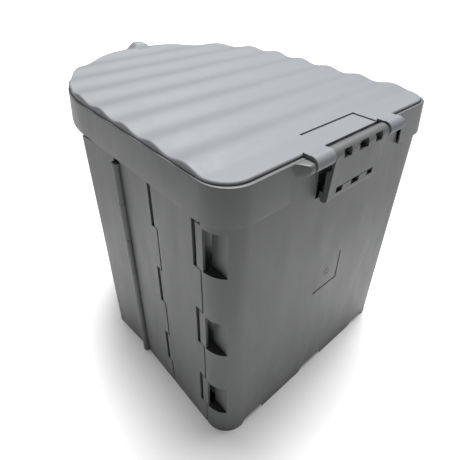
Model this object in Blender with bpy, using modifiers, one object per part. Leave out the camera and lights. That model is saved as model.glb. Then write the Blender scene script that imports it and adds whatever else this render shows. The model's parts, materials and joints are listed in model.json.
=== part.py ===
"""Resin wash station: jointed D-plan housing, hinged lid, inner tank and lift-out basket.

Metres, +Z up.  The rounded user side faces +Y and the hinge wall faces -Y.  Inside this
script Y is measured from the outer face of the rim band on the hinge wall; the assembly
empty then moves everything so that the origin is under the middle of the object.
"""

import math

import bmesh
import bpy
from mathutils import Matrix, Vector

MM = 0.001

# Plan of the housing
HALF_WIDTH = 150 * MM
ROUND_Y = 222 * MM
REAR_CORNER = 30 * MM
WALL_INSET = 3.2 * MM
WALL = 2.6 * MM
FRONT_INSET = 9 * MM
FRONT_SHELL_START_Y = 150 * MM
CORNER_STEPS = 6
ROUND_STEPS = 32

# Heights of the housing
SHELL_TOP = 316.5 * MM
BAND_BOTTOM = 289.8 * MM
RIM_TOP = 323.3 * MM
BAND_WALL = 2.9 * MM
LIP = ((2 * MM, 1.1 * MM), (2.3 * MM, 0.3 * MM), (3.1 * MM, 0))
LIP_INNER = 3.6 * MM
LIP_INNER_REAR = 5.2 * MM
LEDGE_BOTTOM = 316.8 * MM
LEDGE_TOP = 319 * MM
LEDGE_INSET = 14 * MM

# Comb seams between the side walls
FINGER_BOTTOM = 37.5 * MM
FINGER_HEIGHT = 47 * MM
FINGER_PITCH = 99.7 * MM
FINGER_COUNT = 3
SEAM_GAP = 1.6 * MM
FINGER_GAP = 0.8 * MM
SLOT_WIDTH = 4.8 * MM
REAR_SEAM_Y = 31 * MM
REAR_FINGER = 6.4 * MM
MIDDLE_SEAM_Y = 96.9 * MM
MIDDLE_FINGER = 4.6 * MM
MIDDLE_SEAM_LIFT = 3.5 * MM

# Corner pockets
POCKET_FACE_X = 137.1 * MM
POCKET_SIDE_Y = 29 * MM
POCKET_WALL = 2 * MM
POCKET_HEIGHT = 44.5 * MM

# Side flaps and their barrel hinges
BARREL_X = 147.6 * MM
BARREL_Y = 160.7 * MM
BARREL_R = 4.4 * MM
BARREL_TOP = 284 * MM
BARREL_CLEARANCE = 0.4 * MM
KNUCKLES = 6
KNUCKLE_GAP = 0.4 * MM
FLAP_LENGTH = 65.1 * MM
FLAP_BOTTOM = 0.8 * MM
FLAP_TOP = 289.3 * MM
FLAP_AJAR = math.radians(3.6)
FLAP_PIN_R = 1.5 * MM

# Hinge wall
ARCH_HEIGHT = 7.5 * MM
ARCH_SLOPE = 5 * MM
ARCHES = ((-120.5 * MM, -86 * MM), (-22.5 * MM, 22.5 * MM), (86 * MM, 120.5 * MM))
PANEL_RECESS_Z = 162 * MM
PANEL_RECESS_HALF = 20.5 * MM
PANEL_RECESS_DEPTH = 0.6 * MM
WALL_NOTCH_HALF = 83 * MM
WALL_NOTCH_BOTTOM = 310.5 * MM
LATCH_OPENING_HALF = 43 * MM
LATCH_OPENING_BOTTOM = 276 * MM

# Lid hinge
HINGE_Y = -1.8 * MM
HINGE_Z = 318.7 * MM
HINGE_R = 6.8 * MM
KNUCKLE_R = 7.2 * MM
KNUCKLE_Y = -2.6 * MM
KNUCKLE_Z = 320.1 * MM
CLIP_R = 7.2 * MM
HINGE_BORE_R = 2.3 * MM
HINGE_PIN_R = 2 * MM
CLIP_HALF = 39.5 * MM
KNUCKLE_IN = 41.4 * MM
KNUCKLE_OUT = 64.3 * MM
EAR_IN = 64.8 * MM
EAR_OUT = 69.6 * MM
EAR_END_X = 77.5 * MM
EAR_ROOT_Y = 2.2 * MM
EAR_TOP = 323.3 * MM
EAR_SOFTNESS = 1 * MM
EAR_STEPS = 10
BAND_ENDS = (-81 * MM, 85.5 * MM)
BAND_SLOT_X = 95 * MM
BAND_SLOT_Z = (292 * MM, 311.2 * MM)
BAND_SLOT_YS = (1.2 * MM, 2.1 * MM)
WALL_SLOT_X = (80 * MM, 85 * MM)
BORE_HALF = 70.5 * MM
HINGE_PIN_HALF = 70.1 * MM

# Lid
LID_INSET = 3.9 * MM
LID_REAR = 6 * MM
LID_LOW = 325.9 * MM
LID_SHEET = 2.4 * MM
WAVE_RISE = 3.5 * MM
LID_CROWN = 2.2 * MM
LID_CROWN_YS = (90 * MM, 280 * MM)
WAVE_PITCH = 44.7 * MM
FIRST_TROUGH = 26.9 * MM
WAVE_STEPS = 8
LID_SKIRT_BOTTOM = 322 * MM
LID_SKIRT_WALL = 2.2 * MM
LID_SKIRT_START_Y = 24 * MM
LID_REACH_DOWN = 30 * MM
LID_REACH_UP = 15 * MM
GASKET = (2.6 * MM, 8.4 * MM)
GASKET_RIB = (8.8 * MM, 10.8 * MM)
PAD_HALF = 39.5 * MM
PAD_BACK_Y = 31 * MM
PAD_TOP = 324.6 * MM
ARM_TOP = 327 * MM
ARM_BACK_Y = 7.5 * MM
TAB_X = 4 * MM
TAB_HALF = 18 * MM
TAB_FLAT = 4 * MM
TAB_START_Y = 350 * MM
TAB_END_Y = 375 * MM
TAB_BOTTOM = 326.8 * MM
TAB_RISE = 6.6 * MM
TAB_HOLLOW = (10.5 * MM, 5 * MM)
TAB_HOLLOW_SPRING = 327.2 * MM
TAB_STEPS = 12

# Clip
CLIP_SHEET = 2.4 * MM
CLIP_SIDE = 2.2 * MM
CLIP_FRONT_Y = -20 * MM
CLIP_BACK_Y = -2 * MM
CLIP_TONGUE_HALF = 30 * MM
CLIP_FOOT_Y = -6.2 * MM
CLIP_FOOT_Z = 277.5 * MM
CLIP_FOOT_R = 4.4 * MM
CLIP_FOOT_HEIGHT = 5.5 * MM
CLIP_TONGUE_Z = (279.5 * MM, 282 * MM)
CLIP_FLANGE_TOP = 306 * MM
CLIP_FLANGE_BACK_Y = -1.5 * MM
CLIP_WINDOWS = ((-29 * MM, -18 * MM), (-7 * MM, 7 * MM), (18 * MM, 29 * MM))
CLIP_WINDOW_Z = (315.4 * MM, 323.4 * MM)
CLIP_WINDOW_BACK_Y = 7 * MM
CLIP_SLOTS = ((-28.5 * MM, -19 * MM), (-6 * MM, 6 * MM), (19 * MM, 28.5 * MM))
CLIP_SLOT_Z = (280.6 * MM, 286.4 * MM)

# Tank
TANK_INSET = 20 * MM
TANK_WALL = 2.5 * MM
TANK_CORNER = 48 * MM
TANK_BOTTOM = 25 * MM
TANK_TOP = 321.3 * MM
TANK_FLANGE = 2 * MM
TANK_FLANGE_INSET = 4.1 * MM
TANK_FLANGE_REAR = 7.2 * MM

# Base
TRAY_INSET = 12.4 * MM
TRAY_BOTTOM = 8 * MM
TRAY_THICK = 2.5 * MM
RUNNER_X = (58 * MM, 62 * MM)
RUNNER_YS = (60 * MM, 310 * MM)
CROSS_HALF = 2 * MM
FOOT_R = 12 * MM
FOOT_X = 98 * MM
FOOT_REAR_Y = 48 * MM
FOOT_FRONT_Y = 285 * MM
BOSS_BOTTOM = 10.8 * MM
BOSS_TOP = 22 * MM
BOSS_HALF = 6 * MM
SCREW_R = 1.7 * MM
SCREW_HEAD_R = 3.5 * MM
SCREW_HEAD = 2 * MM
SCREW_TOP = 19 * MM
SCREW_REAR_X = 60 * MM
SCREW_REAR_Y = 19 * MM
SCREW_SIDE_X = 131 * MM
SCREW_SIDE_YS = (68 * MM, 128 * MM, 200 * MM)
SCREW_FRONT_Y = 351.5 * MM

# Basket
BASKET_Y = 165 * MM
BASKET_HALF = 100 * MM
BASKET_CORNER = 18 * MM
BASKET_WALL = 2 * MM
BASKET_BOTTOM = 33.3 * MM
BASKET_TOP = 150 * MM
BASKET_RIM = 2.5 * MM
BASKET_SLOT_HALF = 5 * MM
BASKET_SLOT_PITCH = 42 * MM
BASKET_SLOTS = 4
BASKET_SLOT_Z = (48 * MM, 120 * MM)
FLOOR_SLOT_HALF_LENGTH = 62 * MM
BAIL_STOP_YS = (-85 * MM, 79 * MM)
BAIL_STOP = (6 * MM, 5 * MM)
BAIL_Z = 138 * MM
BAIL_X = 106.5 * MM
BAIL_REACH = 112 * MM
BAIL_R = 2.5 * MM
BAIL_BEND = 14 * MM
GRIP_HALF = 38 * MM
GRIP_R = 6 * MM
BUSH_R = 4 * MM
BASKET_FOOT_R = 8 * MM
BASKET_FOOT_REACH = 78 * MM

GAP = 0.3 * MM
DEPTH_CENTRE = (KNUCKLE_Y - KNUCKLE_R + TAB_END_Y) / 2

HOUSING_GREY = (0.19, 0.20, 0.205, 1)
LID_GREY = (0.21, 0.22, 0.232, 1)
TANK_WHITE = (0.72, 0.74, 0.75, 1)
BASKET_GREY = (0.42, 0.44, 0.46, 1)
RUBBER_BLACK = (0.03, 0.03, 0.03, 1)
STEEL = (0.62, 0.63, 0.65, 1)


# ---------------------------------------------------------------- helpers


def clear_scene():
    for old in list(bpy.data.objects):
        bpy.data.objects.remove(old)


def material(name, colour, roughness, metallic=0.0):
    made = bpy.data.materials.new(name)
    made.use_nodes = True
    shader = made.node_tree.nodes["Principled BSDF"]
    shader.inputs["Base Color"].default_value = colour
    shader.inputs["Roughness"].default_value = roughness
    shader.inputs["Metallic"].default_value = metallic
    return made


def closed_mesh(shape, placing=Matrix.Identity(4)):
    """Replaces an object by its evaluated mesh, welded, with its faces pointing out."""
    bpy.context.view_layer.update()
    graph = bpy.context.evaluated_depsgraph_get()
    mesh = bpy.data.meshes.new_from_object(shape.evaluated_get(graph))
    mesh.transform(placing @ shape.matrix_world)
    work = bmesh.new()
    work.from_mesh(mesh)
    bmesh.ops.remove_doubles(work, verts=work.verts, dist=0.002 * MM)
    bmesh.ops.recalc_face_normals(work, faces=work.faces)
    work.to_mesh(mesh)
    work.free()
    made = bpy.data.objects.new(shape.name, mesh)
    bpy.context.scene.collection.objects.link(made)
    bpy.data.objects.remove(shape)
    return made


def flat_outline(loops, half_thickness):
    """A filled 2D curve; loops inside the first one are holes."""
    curve = bpy.data.curves.new("outline", "CURVE")
    curve.dimensions = "2D"
    curve.fill_mode = "BOTH"
    curve.extrude = half_thickness
    for loop in loops:
        spline = curve.splines.new("POLY")
        spline.points.add(len(loop) - 1)
        for point, (x, y) in zip(spline.points, loop):
            point.co = (x, y, 0, 1)
        spline.use_cyclic_u = True
    shape = bpy.data.objects.new("outline", curve)
    bpy.context.scene.collection.objects.link(shape)
    return shape


def upright(loops, bottom, top):
    """Solid with plan loops (x, y) between two heights."""
    shape = flat_outline(loops, (top - bottom) / 2)
    return closed_mesh(shape, Matrix.Translation((0, 0, (bottom + top) / 2)))


def along_x(loops, left, right):
    """Solid with section loops (y, z) between two x values."""
    turn = Matrix(((0, 0, 1, (left + right) / 2), (1, 0, 0, 0), (0, 1, 0, 0), (0, 0, 0, 1)))
    return closed_mesh(flat_outline(loops, (right - left) / 2), turn)


def along_y(loops, near, far):
    """Solid with elevation loops (x, z) between two y values."""
    turn = Matrix(((1, 0, 0, 0), (0, 0, -1, (near + far) / 2), (0, 1, 0, 0), (0, 0, 0, 1)))
    return closed_mesh(flat_outline(loops, (far - near) / 2), turn)


def boxes(*corners):
    """One mesh of axis-aligned boxes, each given by its lowest and highest corner."""
    work = bmesh.new()
    for low, high in corners:
        low, high = Vector(low), Vector(high)
        cube = bmesh.ops.create_cube(work, size=1)["verts"]
        bmesh.ops.scale(work, vec=high - low, verts=cube)
        bmesh.ops.translate(work, vec=(low + high) / 2, verts=cube)
    return from_bmesh(work)


def bars(radius, sides, *ends):
    """One mesh of round bars, each given by the middle of its two end faces."""
    work = bmesh.new()
    for start, end in ends:
        start, end = Vector(start), Vector(end)
        length = (end - start).length
        made = bmesh.ops.create_cone(
            work, cap_ends=True, segments=sides, radius1=radius, radius2=radius, depth=length
        )["verts"]
        turn = (end - start).to_track_quat("Z", "Y").to_matrix().to_4x4()
        bmesh.ops.transform(work, matrix=Matrix.Translation((start + end) / 2) @ turn, verts=made)
    return from_bmesh(work)


def from_bmesh(work):
    mesh = bpy.data.meshes.new("solid")
    work.to_mesh(mesh)
    work.free()
    made = bpy.data.objects.new("solid", mesh)
    bpy.context.scene.collection.objects.link(made)
    return made


def combine(body, tool, operation):
    modifier = body.modifiers.new(operation.lower(), "BOOLEAN")
    modifier.operation = operation
    modifier.object = tool
    made = closed_mesh(body)
    bpy.data.objects.remove(tool)
    return made


def join(body, tool):
    return combine(body, tool, "UNION")


def cut(body, tool):
    return combine(body, tool, "DIFFERENCE")


def common(body, tool):
    return combine(body, tool, "INTERSECT")


def lofted(rings):
    """Solid through a row of closed rings of 3D points, its two ends filled."""
    work = bmesh.new()
    rows = [[work.verts.new(point) for point in ring] for ring in rings]
    skin(work, rows)
    work.faces.new(rows[0])
    work.faces.new(rows[-1][::-1])
    return closed_mesh(from_bmesh(work))


def looped(rings):
    """Solid ring through a row of closed rings of 3D points, the last joined to the first."""
    work = bmesh.new()
    rows = [[work.verts.new(point) for point in ring] for ring in rings]
    skin(work, rows + rows[:1])
    return closed_mesh(from_bmesh(work))


def skin(work, rows):
    """Faces between neighbouring rings."""
    for near, far in zip(rows, rows[1:]):
        for i in range(len(near)):
            work.faces.new((near[i - 1], near[i], far[i], far[i - 1]))


def mirrored(shape):
    """A copy of a shape on the other side of the middle plane."""
    work = bmesh.new()
    work.from_mesh(shape.data)
    bmesh.ops.scale(work, vec=(-1, 1, 1), verts=work.verts)
    bmesh.ops.reverse_faces(work, faces=work.faces)
    return from_bmesh(work)


def both_sides(low, high):
    """A box and its mirror image across the middle plane."""
    left_low = (-high[0], low[1], low[2])
    left_high = (-low[0], high[1], high[2])
    return (low, high), (left_low, left_high)


def arc(centre, radius, start, end, steps):
    """Points of an arc, angles in degrees from +X towards the second axis."""
    points = []
    for i in range(steps + 1):
        angle = math.radians(start + (end - start) * i / steps)
        points.append((centre[0] + radius * math.cos(angle), centre[1] + radius * math.sin(angle)))
    return points


def plan(inset, rear=None, corner=REAR_CORNER):
    """The D outline, an inset inside the band's outer face at its foot."""
    half = HALF_WIDTH - inset
    rear = inset if rear is None else rear
    radius = corner - inset
    points = arc((-half + radius, rear + radius), radius, 180, 270, CORNER_STEPS)
    points += arc((half - radius, rear + radius), radius, 270, 360, CORNER_STEPS)
    return points + arc((0, ROUND_Y), half, 0, 180, ROUND_STEPS)


def rear_path(inset, end_y):
    """The hinge wall and its two corners as an open line that ends on both sides."""
    half = HALF_WIDTH - inset
    radius = REAR_CORNER - inset
    points = [(-half, end_y)]
    points += arc((-half + radius, REAR_CORNER), radius, 180, 270, CORNER_STEPS)
    points += arc((half - radius, REAR_CORNER), radius, 270, 360, CORNER_STEPS)
    return points + [(half, end_y)]


def front_path(inset, start_y):
    """The rounded wall as an open line that starts and ends on the straight sides."""
    half = HALF_WIDTH - inset
    return [(half, start_y)] + arc((0, ROUND_Y), half, 0, 180, ROUND_STEPS) + [(-half, start_y)]


def finger_ranges(lift=0.0):
    """Heights of the comb fingers, lowest first."""
    bottoms = [FINGER_BOTTOM + lift + FINGER_PITCH * i for i in range(FINGER_COUNT)]
    return [(z, z + FINGER_HEIGHT) for z in bottoms]


def between_ranges(ranges, bottom, top):
    """The heights that a set of ranges leaves free between bottom and top."""
    edges = [bottom] + [z for pair in ranges for z in pair] + [top]
    return list(zip(edges[0::2], edges[1::2]))


def smooth(shape):
    shape.data.shade_smooth()
    shape.data.set_sharp_from_angle(angle=math.radians(30))


def finish(shape, name, look, parent, collection):
    """Names a shape, gives it its material and hangs it on its parent without moving it."""
    shape.name = name
    shape.data.name = name
    shape.data.materials.clear()
    shape.data.materials.append(look)
    smooth(shape)
    for home in list(shape.users_collection):
        home.objects.unlink(shape)
    collection.objects.link(shape)
    shape.parent = parent
    if parent.parent is not None:
        shape.location = -parent.location
    return shape


def copies(shape, places, look, parent, collection):
    """Stands copies of one shape, which share its mesh, at named places in plan."""
    for name, (x, y) in places.items():
        piece = bpy.data.objects.new(name, shape.data)
        finish(piece, name, look, parent, collection)
        piece.location += Vector((x, y, 0))
    bpy.data.objects.remove(shape)


def pivot(name, location, assembly, collection):
    """An empty on a joint's axis."""
    empty = bpy.data.objects.new(name, None)
    collection.objects.link(empty)
    empty.location = location
    empty.parent = assembly
    return empty


# ---------------------------------------------------------------- housing


def screw_places():
    """Where the base screws stand, in plan."""
    places = {"front": (0, SCREW_FRONT_Y)}
    for side, name in ((-1, "left"), (1, "right")):
        places["rear_" + name] = (side * SCREW_REAR_X, SCREW_REAR_Y)
        for which, y in zip(("rear_side", "middle_side", "front_side"), SCREW_SIDE_YS):
            places[which + "_" + name] = (side * SCREW_SIDE_X, y)
    return places


def bored(body, bottom, top):
    """Cuts the screw holes of all base screws through a piece between two heights."""
    ends = [((x, y, bottom), (x, y, top)) for x, y in screw_places().values()]
    return cut(body, bars(SCREW_R + GAP, 12, *ends))


def bossed(wall, low_x, high_x, low_y, high_y):
    """Adds a screw boss to a wall and bores it from below."""
    wall = join(wall, boxes(((low_x, low_y, BOSS_BOTTOM), (high_x, high_y, BOSS_TOP))))
    return bored(wall, BOSS_BOTTOM - 1 * MM, SCREW_TOP + GAP)


def pocket_outline(side):
    """Plan of a corner pocket, which also opens sideways behind the wall strip beside it."""
    wall_in = HALF_WIDTH - WALL_INSET - WALL
    corners = [
        (POCKET_FACE_X, -1 * MM),
        (HALF_WIDTH + 5 * MM, -1 * MM),
        (HALF_WIDTH + 5 * MM, POCKET_SIDE_Y),
        (wall_in - 0.1 * MM, POCKET_SIDE_Y),
        (wall_in - 0.1 * MM, POCKET_SIDE_Y + 1 * MM),
        (POCKET_FACE_X, POCKET_SIDE_Y + 1 * MM),
    ]
    return [(side * x, y) for x, y in corners]


def rear_shell():
    """Hinge wall with its rounded corners, comb fingers, pockets and foot arches."""
    end = REAR_SEAM_Y + REAR_FINGER
    outer = rear_path(WALL_INSET, end)
    inner = rear_path(WALL_INSET + WALL, end)
    shell = upright([outer + inner[::-1]], 0, SHELL_TOP)

    half = HALF_WIDTH - WALL_INSET
    free = between_ranges(finger_ranges(), -1 * MM, SHELL_TOP + 1 * MM)
    notches = []
    for low, high in free:
        notches += both_sides((half - 8 * MM, REAR_SEAM_Y, low), (half + 8 * MM, end + 8 * MM, high))
    shell = cut(shell, boxes(*notches))

    blocks = []
    back = POCKET_FACE_X - POCKET_WALL
    for low, _ in finger_ranges():
        high_z = low + POCKET_HEIGHT + POCKET_WALL
        blocks += both_sides((back, 0, low - POCKET_WALL), (half + 5 * MM, POCKET_SIDE_Y, high_z))
    blocks = common(boxes(*blocks), upright([plan(WALL_INSET)], 0, SHELL_TOP))
    shell = join(shell, blocks)
    for low, _ in finger_ranges():
        for side in (-1, 1):
            shell = cut(shell, upright([pocket_outline(side)], low, low + POCKET_HEIGHT))

    for x in (-SCREW_REAR_X, SCREW_REAR_X):
        shell = bossed(
            shell, x - BOSS_HALF, x + BOSS_HALF, WALL_INSET + WALL / 2, SCREW_REAR_Y + BOSS_HALF
        )

    for left, right in ARCHES:
        arch = [
            (left, -1 * MM),
            (left + ARCH_SLOPE, ARCH_HEIGHT),
            (right - ARCH_SLOPE, ARCH_HEIGHT),
            (right, -1 * MM),
        ]
        shell = cut(shell, along_y([arch], 2 * MM, 7 * MM))

    notch = ((-WALL_NOTCH_HALF, 2 * MM, WALL_NOTCH_BOTTOM), (WALL_NOTCH_HALF, 7 * MM, SHELL_TOP + 1 * MM))
    shell = cut(shell, boxes(notch))
    start_top, start_bottom = WALL_SLOT_X
    slot_bottom = BAND_SLOT_Z[0]
    slot_top = WALL_NOTCH_BOTTOM + 1 * MM
    slot = [
        (start_top, slot_top),
        (start_bottom, slot_bottom),
        (BAND_SLOT_X, slot_bottom),
        (BAND_SLOT_X, slot_top),
    ]
    shell = cut(shell, along_y([slot], 2 * MM, 7 * MM))
    opening = (
        (-LATCH_OPENING_HALF, 2 * MM, LATCH_OPENING_BOTTOM),
        (LATCH_OPENING_HALF, 7 * MM, WALL_NOTCH_BOTTOM + 1 * MM),
    )
    shell = cut(shell, boxes(opening))
    recess = (
        (-PANEL_RECESS_HALF, 2 * MM, PANEL_RECESS_Z - PANEL_RECESS_HALF),
        (PANEL_RECESS_HALF, WALL_INSET + PANEL_RECESS_DEPTH, PANEL_RECESS_Z + PANEL_RECESS_HALF),
    )
    return cut(shell, boxes(recess))


def through_side(start, end, bottom, top):
    """A cutter that passes through the right side wall."""
    return (HALF_WIDTH / 2, start, bottom), (HALF_WIDTH * 2, end, top)


def side_slab(start, end, bottom, top):
    """A stretch of the right side wall."""
    outer = HALF_WIDTH - WALL_INSET
    return (outer - WALL, start, bottom), (outer, end, top)


def side_bossed(panel, y):
    wall_x = HALF_WIDTH - WALL_INSET - WALL / 2
    return bossed(panel, SCREW_SIDE_X - BOSS_HALF, wall_x, y - BOSS_HALF, y + BOSS_HALF)


def rear_side_panel():
    """Right side wall between the two comb seams."""
    start = REAR_SEAM_Y + SEAM_GAP
    end = MIDDLE_SEAM_Y + MIDDLE_FINGER
    panel = boxes(side_slab(start, end, 0, SHELL_TOP))
    cuts = []
    for low, high in finger_ranges():
        slot_end = REAR_SEAM_Y + REAR_FINGER + SLOT_WIDTH
        cuts.append(through_side(start - 5 * MM, slot_end, low - FINGER_GAP, high + FINGER_GAP))
    for low, high in between_ranges(finger_ranges(MIDDLE_SEAM_LIFT), -1 * MM, SHELL_TOP + 1 * MM):
        cuts.append(through_side(MIDDLE_SEAM_Y, end + 5 * MM, low, high))
    panel = cut(panel, boxes(*cuts))
    return side_bossed(panel, SCREW_SIDE_YS[0])


def knuckle_ranges():
    """Heights of the flap barrel's knuckles, lowest first."""
    pitch = BARREL_TOP / KNUCKLES
    return [(pitch * i, pitch * (i + 1) - KNUCKLE_GAP) for i in range(KNUCKLES)]


def with_knuckles(leaf, ranges, toward):
    """Adds barrel knuckles and their webs to a hinge leaf, then bores them for the pin."""
    outer = HALF_WIDTH - WALL_INSET
    reach = BARREL_R + 2 * MM
    for low, high in ranges:
        web_low = (outer - WALL, min(BARREL_Y, BARREL_Y + toward * reach), low)
        web_high = (outer, max(BARREL_Y, BARREL_Y + toward * reach), high)
        leaf = join(leaf, boxes((web_low, web_high)))
        barrel = bars(BARREL_R, 20, ((BARREL_X, BARREL_Y, low), (BARREL_X, BARREL_Y, high)))
        leaf = join(leaf, barrel)
    bore = ((BARREL_X, BARREL_Y, 1.5 * MM), (BARREL_X, BARREL_Y, BARREL_TOP + 1 * MM))
    return cut(leaf, bars(FLAP_PIN_R + GAP, 12, bore))


def middle_side_panel():
    """Right side wall between the second comb seam and the flap hinge."""
    start = MIDDLE_SEAM_Y + SEAM_GAP
    end = BARREL_Y - BARREL_R - BARREL_CLEARANCE
    panel = boxes(side_slab(start, end, 0, SHELL_TOP))
    cuts = []
    for low, high in finger_ranges(MIDDLE_SEAM_LIFT):
        slot_end = MIDDLE_SEAM_Y + MIDDLE_FINGER + SLOT_WIDTH
        cuts.append(through_side(start - 5 * MM, slot_end, low - FINGER_GAP, high + FINGER_GAP))
    panel = cut(panel, boxes(*cuts))
    panel = side_bossed(panel, SCREW_SIDE_YS[1])
    return with_knuckles(panel, knuckle_ranges()[0::2], -1)


def flap():
    """Right side flap, turned a little outwards on its barrel."""
    start = BARREL_Y + BARREL_R + BARREL_CLEARANCE
    leaf = boxes(side_slab(start, BARREL_Y + FLAP_LENGTH, FLAP_BOTTOM, FLAP_TOP))
    leaf = with_knuckles(leaf, knuckle_ranges()[1::2], 1)
    axis = Vector((BARREL_X, BARREL_Y, 0))
    turn = Matrix.Translation(axis) @ Matrix.Rotation(-FLAP_AJAR, 4, "Z") @ Matrix.Translation(-axis)
    leaf.data.transform(turn)
    return leaf


def flap_pin():
    return bars(FLAP_PIN_R, 12, ((BARREL_X, BARREL_Y, 1.8 * MM), (BARREL_X, BARREL_Y, BARREL_TOP - 1 * MM)))


def front_shell():
    """Rounded wall of the user side, its ends tucked behind the side walls."""
    outer = front_path(FRONT_INSET, FRONT_SHELL_START_Y)
    inner = front_path(FRONT_INSET + WALL, FRONT_SHELL_START_Y)
    shell = upright([outer + inner[::-1]], 0, SHELL_TOP)
    wall_x = HALF_WIDTH - FRONT_INSET - WALL / 2
    low_y = SCREW_SIDE_YS[2] - BOSS_HALF
    high_y = SCREW_SIDE_YS[2] + BOSS_HALF
    shell = bossed(shell, -wall_x, BOSS_HALF - SCREW_SIDE_X, low_y, high_y)
    shell = bossed(shell, SCREW_SIDE_X - BOSS_HALF, wall_x, low_y, high_y)
    return bossed(shell, -BOSS_HALF, BOSS_HALF, SCREW_FRONT_Y - BOSS_HALF, ROUND_Y + wall_x)


def hinge_ear(side):
    """Half-round ear, level with the lip on top, that curves back into the band."""
    rings = []
    for i in range(EAR_STEPS + 1):
        x = EAR_IN + (EAR_END_X - EAR_IN) * i / EAR_STEPS
        share = 1 - eased(x, EAR_OUT, EAR_END_X + 1 * MM)
        ring = []
        for y, z in arc((HINGE_Y, HINGE_Z), HINGE_R, 0, 360, 24)[:-1]:
            low = EAR_TOP - EAR_SOFTNESS * math.log1p(math.exp((EAR_TOP - z) / EAR_SOFTNESS))
            ring.append((side * x, EAR_ROOT_Y + (y - EAR_ROOT_Y) * share, low))
        rings.append(ring)
    return lofted(rings)


def rim_collar():
    """Rim band with its rounded lip, the ledge under the tank, and the fixed hinge ears."""
    sections = [(0, None, BAND_BOTTOM)] + [(inset, None, RIM_TOP - drop) for inset, drop in LIP]
    sections += [
        (LIP_INNER, LIP_INNER_REAR, RIM_TOP),
        (LIP_INNER, LIP_INNER_REAR, LEDGE_TOP),
        (LEDGE_INSET, None, LEDGE_TOP),
        (LEDGE_INSET, None, LEDGE_BOTTOM),
        (BAND_WALL, None, LEDGE_BOTTOM),
        (BAND_WALL, None, BAND_BOTTOM),
    ]
    collar = looped([[(x, y, z) for x, y in plan(inset, rear)] for inset, rear, z in sections])
    under_ears = (
        (BAND_ENDS[0], -1 * MM, BAND_BOTTOM - 1 * MM),
        (BAND_ENDS[1], BAND_WALL + 0.2 * MM, WALL_NOTCH_BOTTOM + 0.5 * MM),
    )
    collar = cut(collar, boxes(under_ears))
    low, high = BAND_SLOT_Z
    low_y, high_y = BAND_SLOT_YS
    back_y = BAND_WALL + 0.2 * MM
    slot = [(low_y, low), (back_y, low), (back_y, high), (high_y, high)]
    collar = cut(collar, along_x([slot], BAND_ENDS[1] - 1 * MM, BAND_SLOT_X))
    clear_y = HINGE_Y + HINGE_R + 0.5 * MM
    half = EAR_IN - 0.2 * MM
    at_knuckles = ((-half, -1 * MM, BAND_BOTTOM - 1 * MM), (half, clear_y, RIM_TOP + 1 * MM))
    collar = cut(collar, boxes(at_knuckles))
    for side in (-1, 1):
        collar = join(collar, hinge_ear(side))
    bore = (-BORE_HALF, HINGE_Y, HINGE_Z), (BORE_HALF, HINGE_Y, HINGE_Z)
    return cut(collar, bars(HINGE_BORE_R, 12, bore))


def hinge_pin():
    return bars(
        HINGE_PIN_R, 12, ((-HINGE_PIN_HALF, HINGE_Y, HINGE_Z), (HINGE_PIN_HALF, HINGE_Y, HINGE_Z))
    )


def base_tray():
    """Floor of the housing with two runners that carry the tank."""
    top = TRAY_BOTTOM + TRAY_THICK
    tray = upright([plan(TRAY_INSET)], TRAY_BOTTOM, top)
    near, far = RUNNER_X
    start, end = RUNNER_YS
    runner = both_sides((near, start, top - 1 * MM), (far, end, TANK_BOTTOM - GAP))
    cross = (
        (-near - 1 * MM, DEPTH_CENTRE - CROSS_HALF, top - 1 * MM),
        (near + 1 * MM, DEPTH_CENTRE + CROSS_HALF, TANK_BOTTOM - GAP - 1 * MM),
    )
    tray = join(join(tray, boxes(*runner)), boxes(cross))
    return bored(tray, 0, BOSS_BOTTOM)


def turned(profile, sides):
    """Turns a profile (radius, height) that runs down its outer side from axis to axis."""
    mesh = bpy.data.meshes.new("profile")
    edges = [(i, i + 1) for i in range(len(profile) - 1)]
    mesh.from_pydata([(radius, 0, z) for radius, z in profile], edges, [])
    shape = bpy.data.objects.new("turned", mesh)
    bpy.context.scene.collection.objects.link(shape)
    screw = shape.modifiers.new("screw", "SCREW")
    screw.steps = sides
    screw.render_steps = sides
    screw.use_merge_vertices = True
    screw.merge_threshold = 0.01 * MM
    return closed_mesh(shape)


def base_screw():
    """Pan-head screw that holds a wall to the base, its head underneath."""
    head_top = TRAY_BOTTOM - GAP
    head_bottom = head_top - SCREW_HEAD
    profile = [
        (0, SCREW_TOP),
        (SCREW_R, SCREW_TOP - 1 * MM),
        (SCREW_R, head_top),
        (SCREW_HEAD_R, head_top),
        (SCREW_HEAD_R, head_bottom + 0.6 * MM),
        (SCREW_HEAD_R * 0.8, head_bottom),
        (0, head_bottom),
    ]
    return turned(profile, 12)


def foot():
    """Soft pad between the base and the ground, its free edge rounded."""
    top = TRAY_BOTTOM - GAP
    edge = 1.2 * MM
    profile = [(0, top), (FOOT_R, top), (FOOT_R, edge), (FOOT_R - edge, 0), (0, 0)]
    return turned(profile, 24)


# ---------------------------------------------------------------- tank, lid and clip


def wash_tank():
    """Sealed inner tub that hangs on the ledge by its flange."""
    outer = plan(TANK_INSET, corner=TANK_CORNER)
    inner = plan(TANK_INSET + TANK_WALL, corner=TANK_CORNER)
    tank = upright([outer], TANK_BOTTOM, TANK_TOP - TANK_FLANGE / 2)
    rim = plan(TANK_FLANGE_INSET, rear=TANK_FLANGE_REAR)
    flange = upright([rim], TANK_TOP - TANK_FLANGE, TANK_TOP)
    inside = upright([inner], TANK_BOTTOM + TANK_WALL, TANK_TOP + 1 * MM)
    return cut(join(tank, flange), inside)


def eased(value, start, end):
    """0 before start, 1 after end, and a smooth rise between them."""
    part = min(max((value - start) / (end - start), 0), 1)
    return part * part * (3 - 2 * part)


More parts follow.
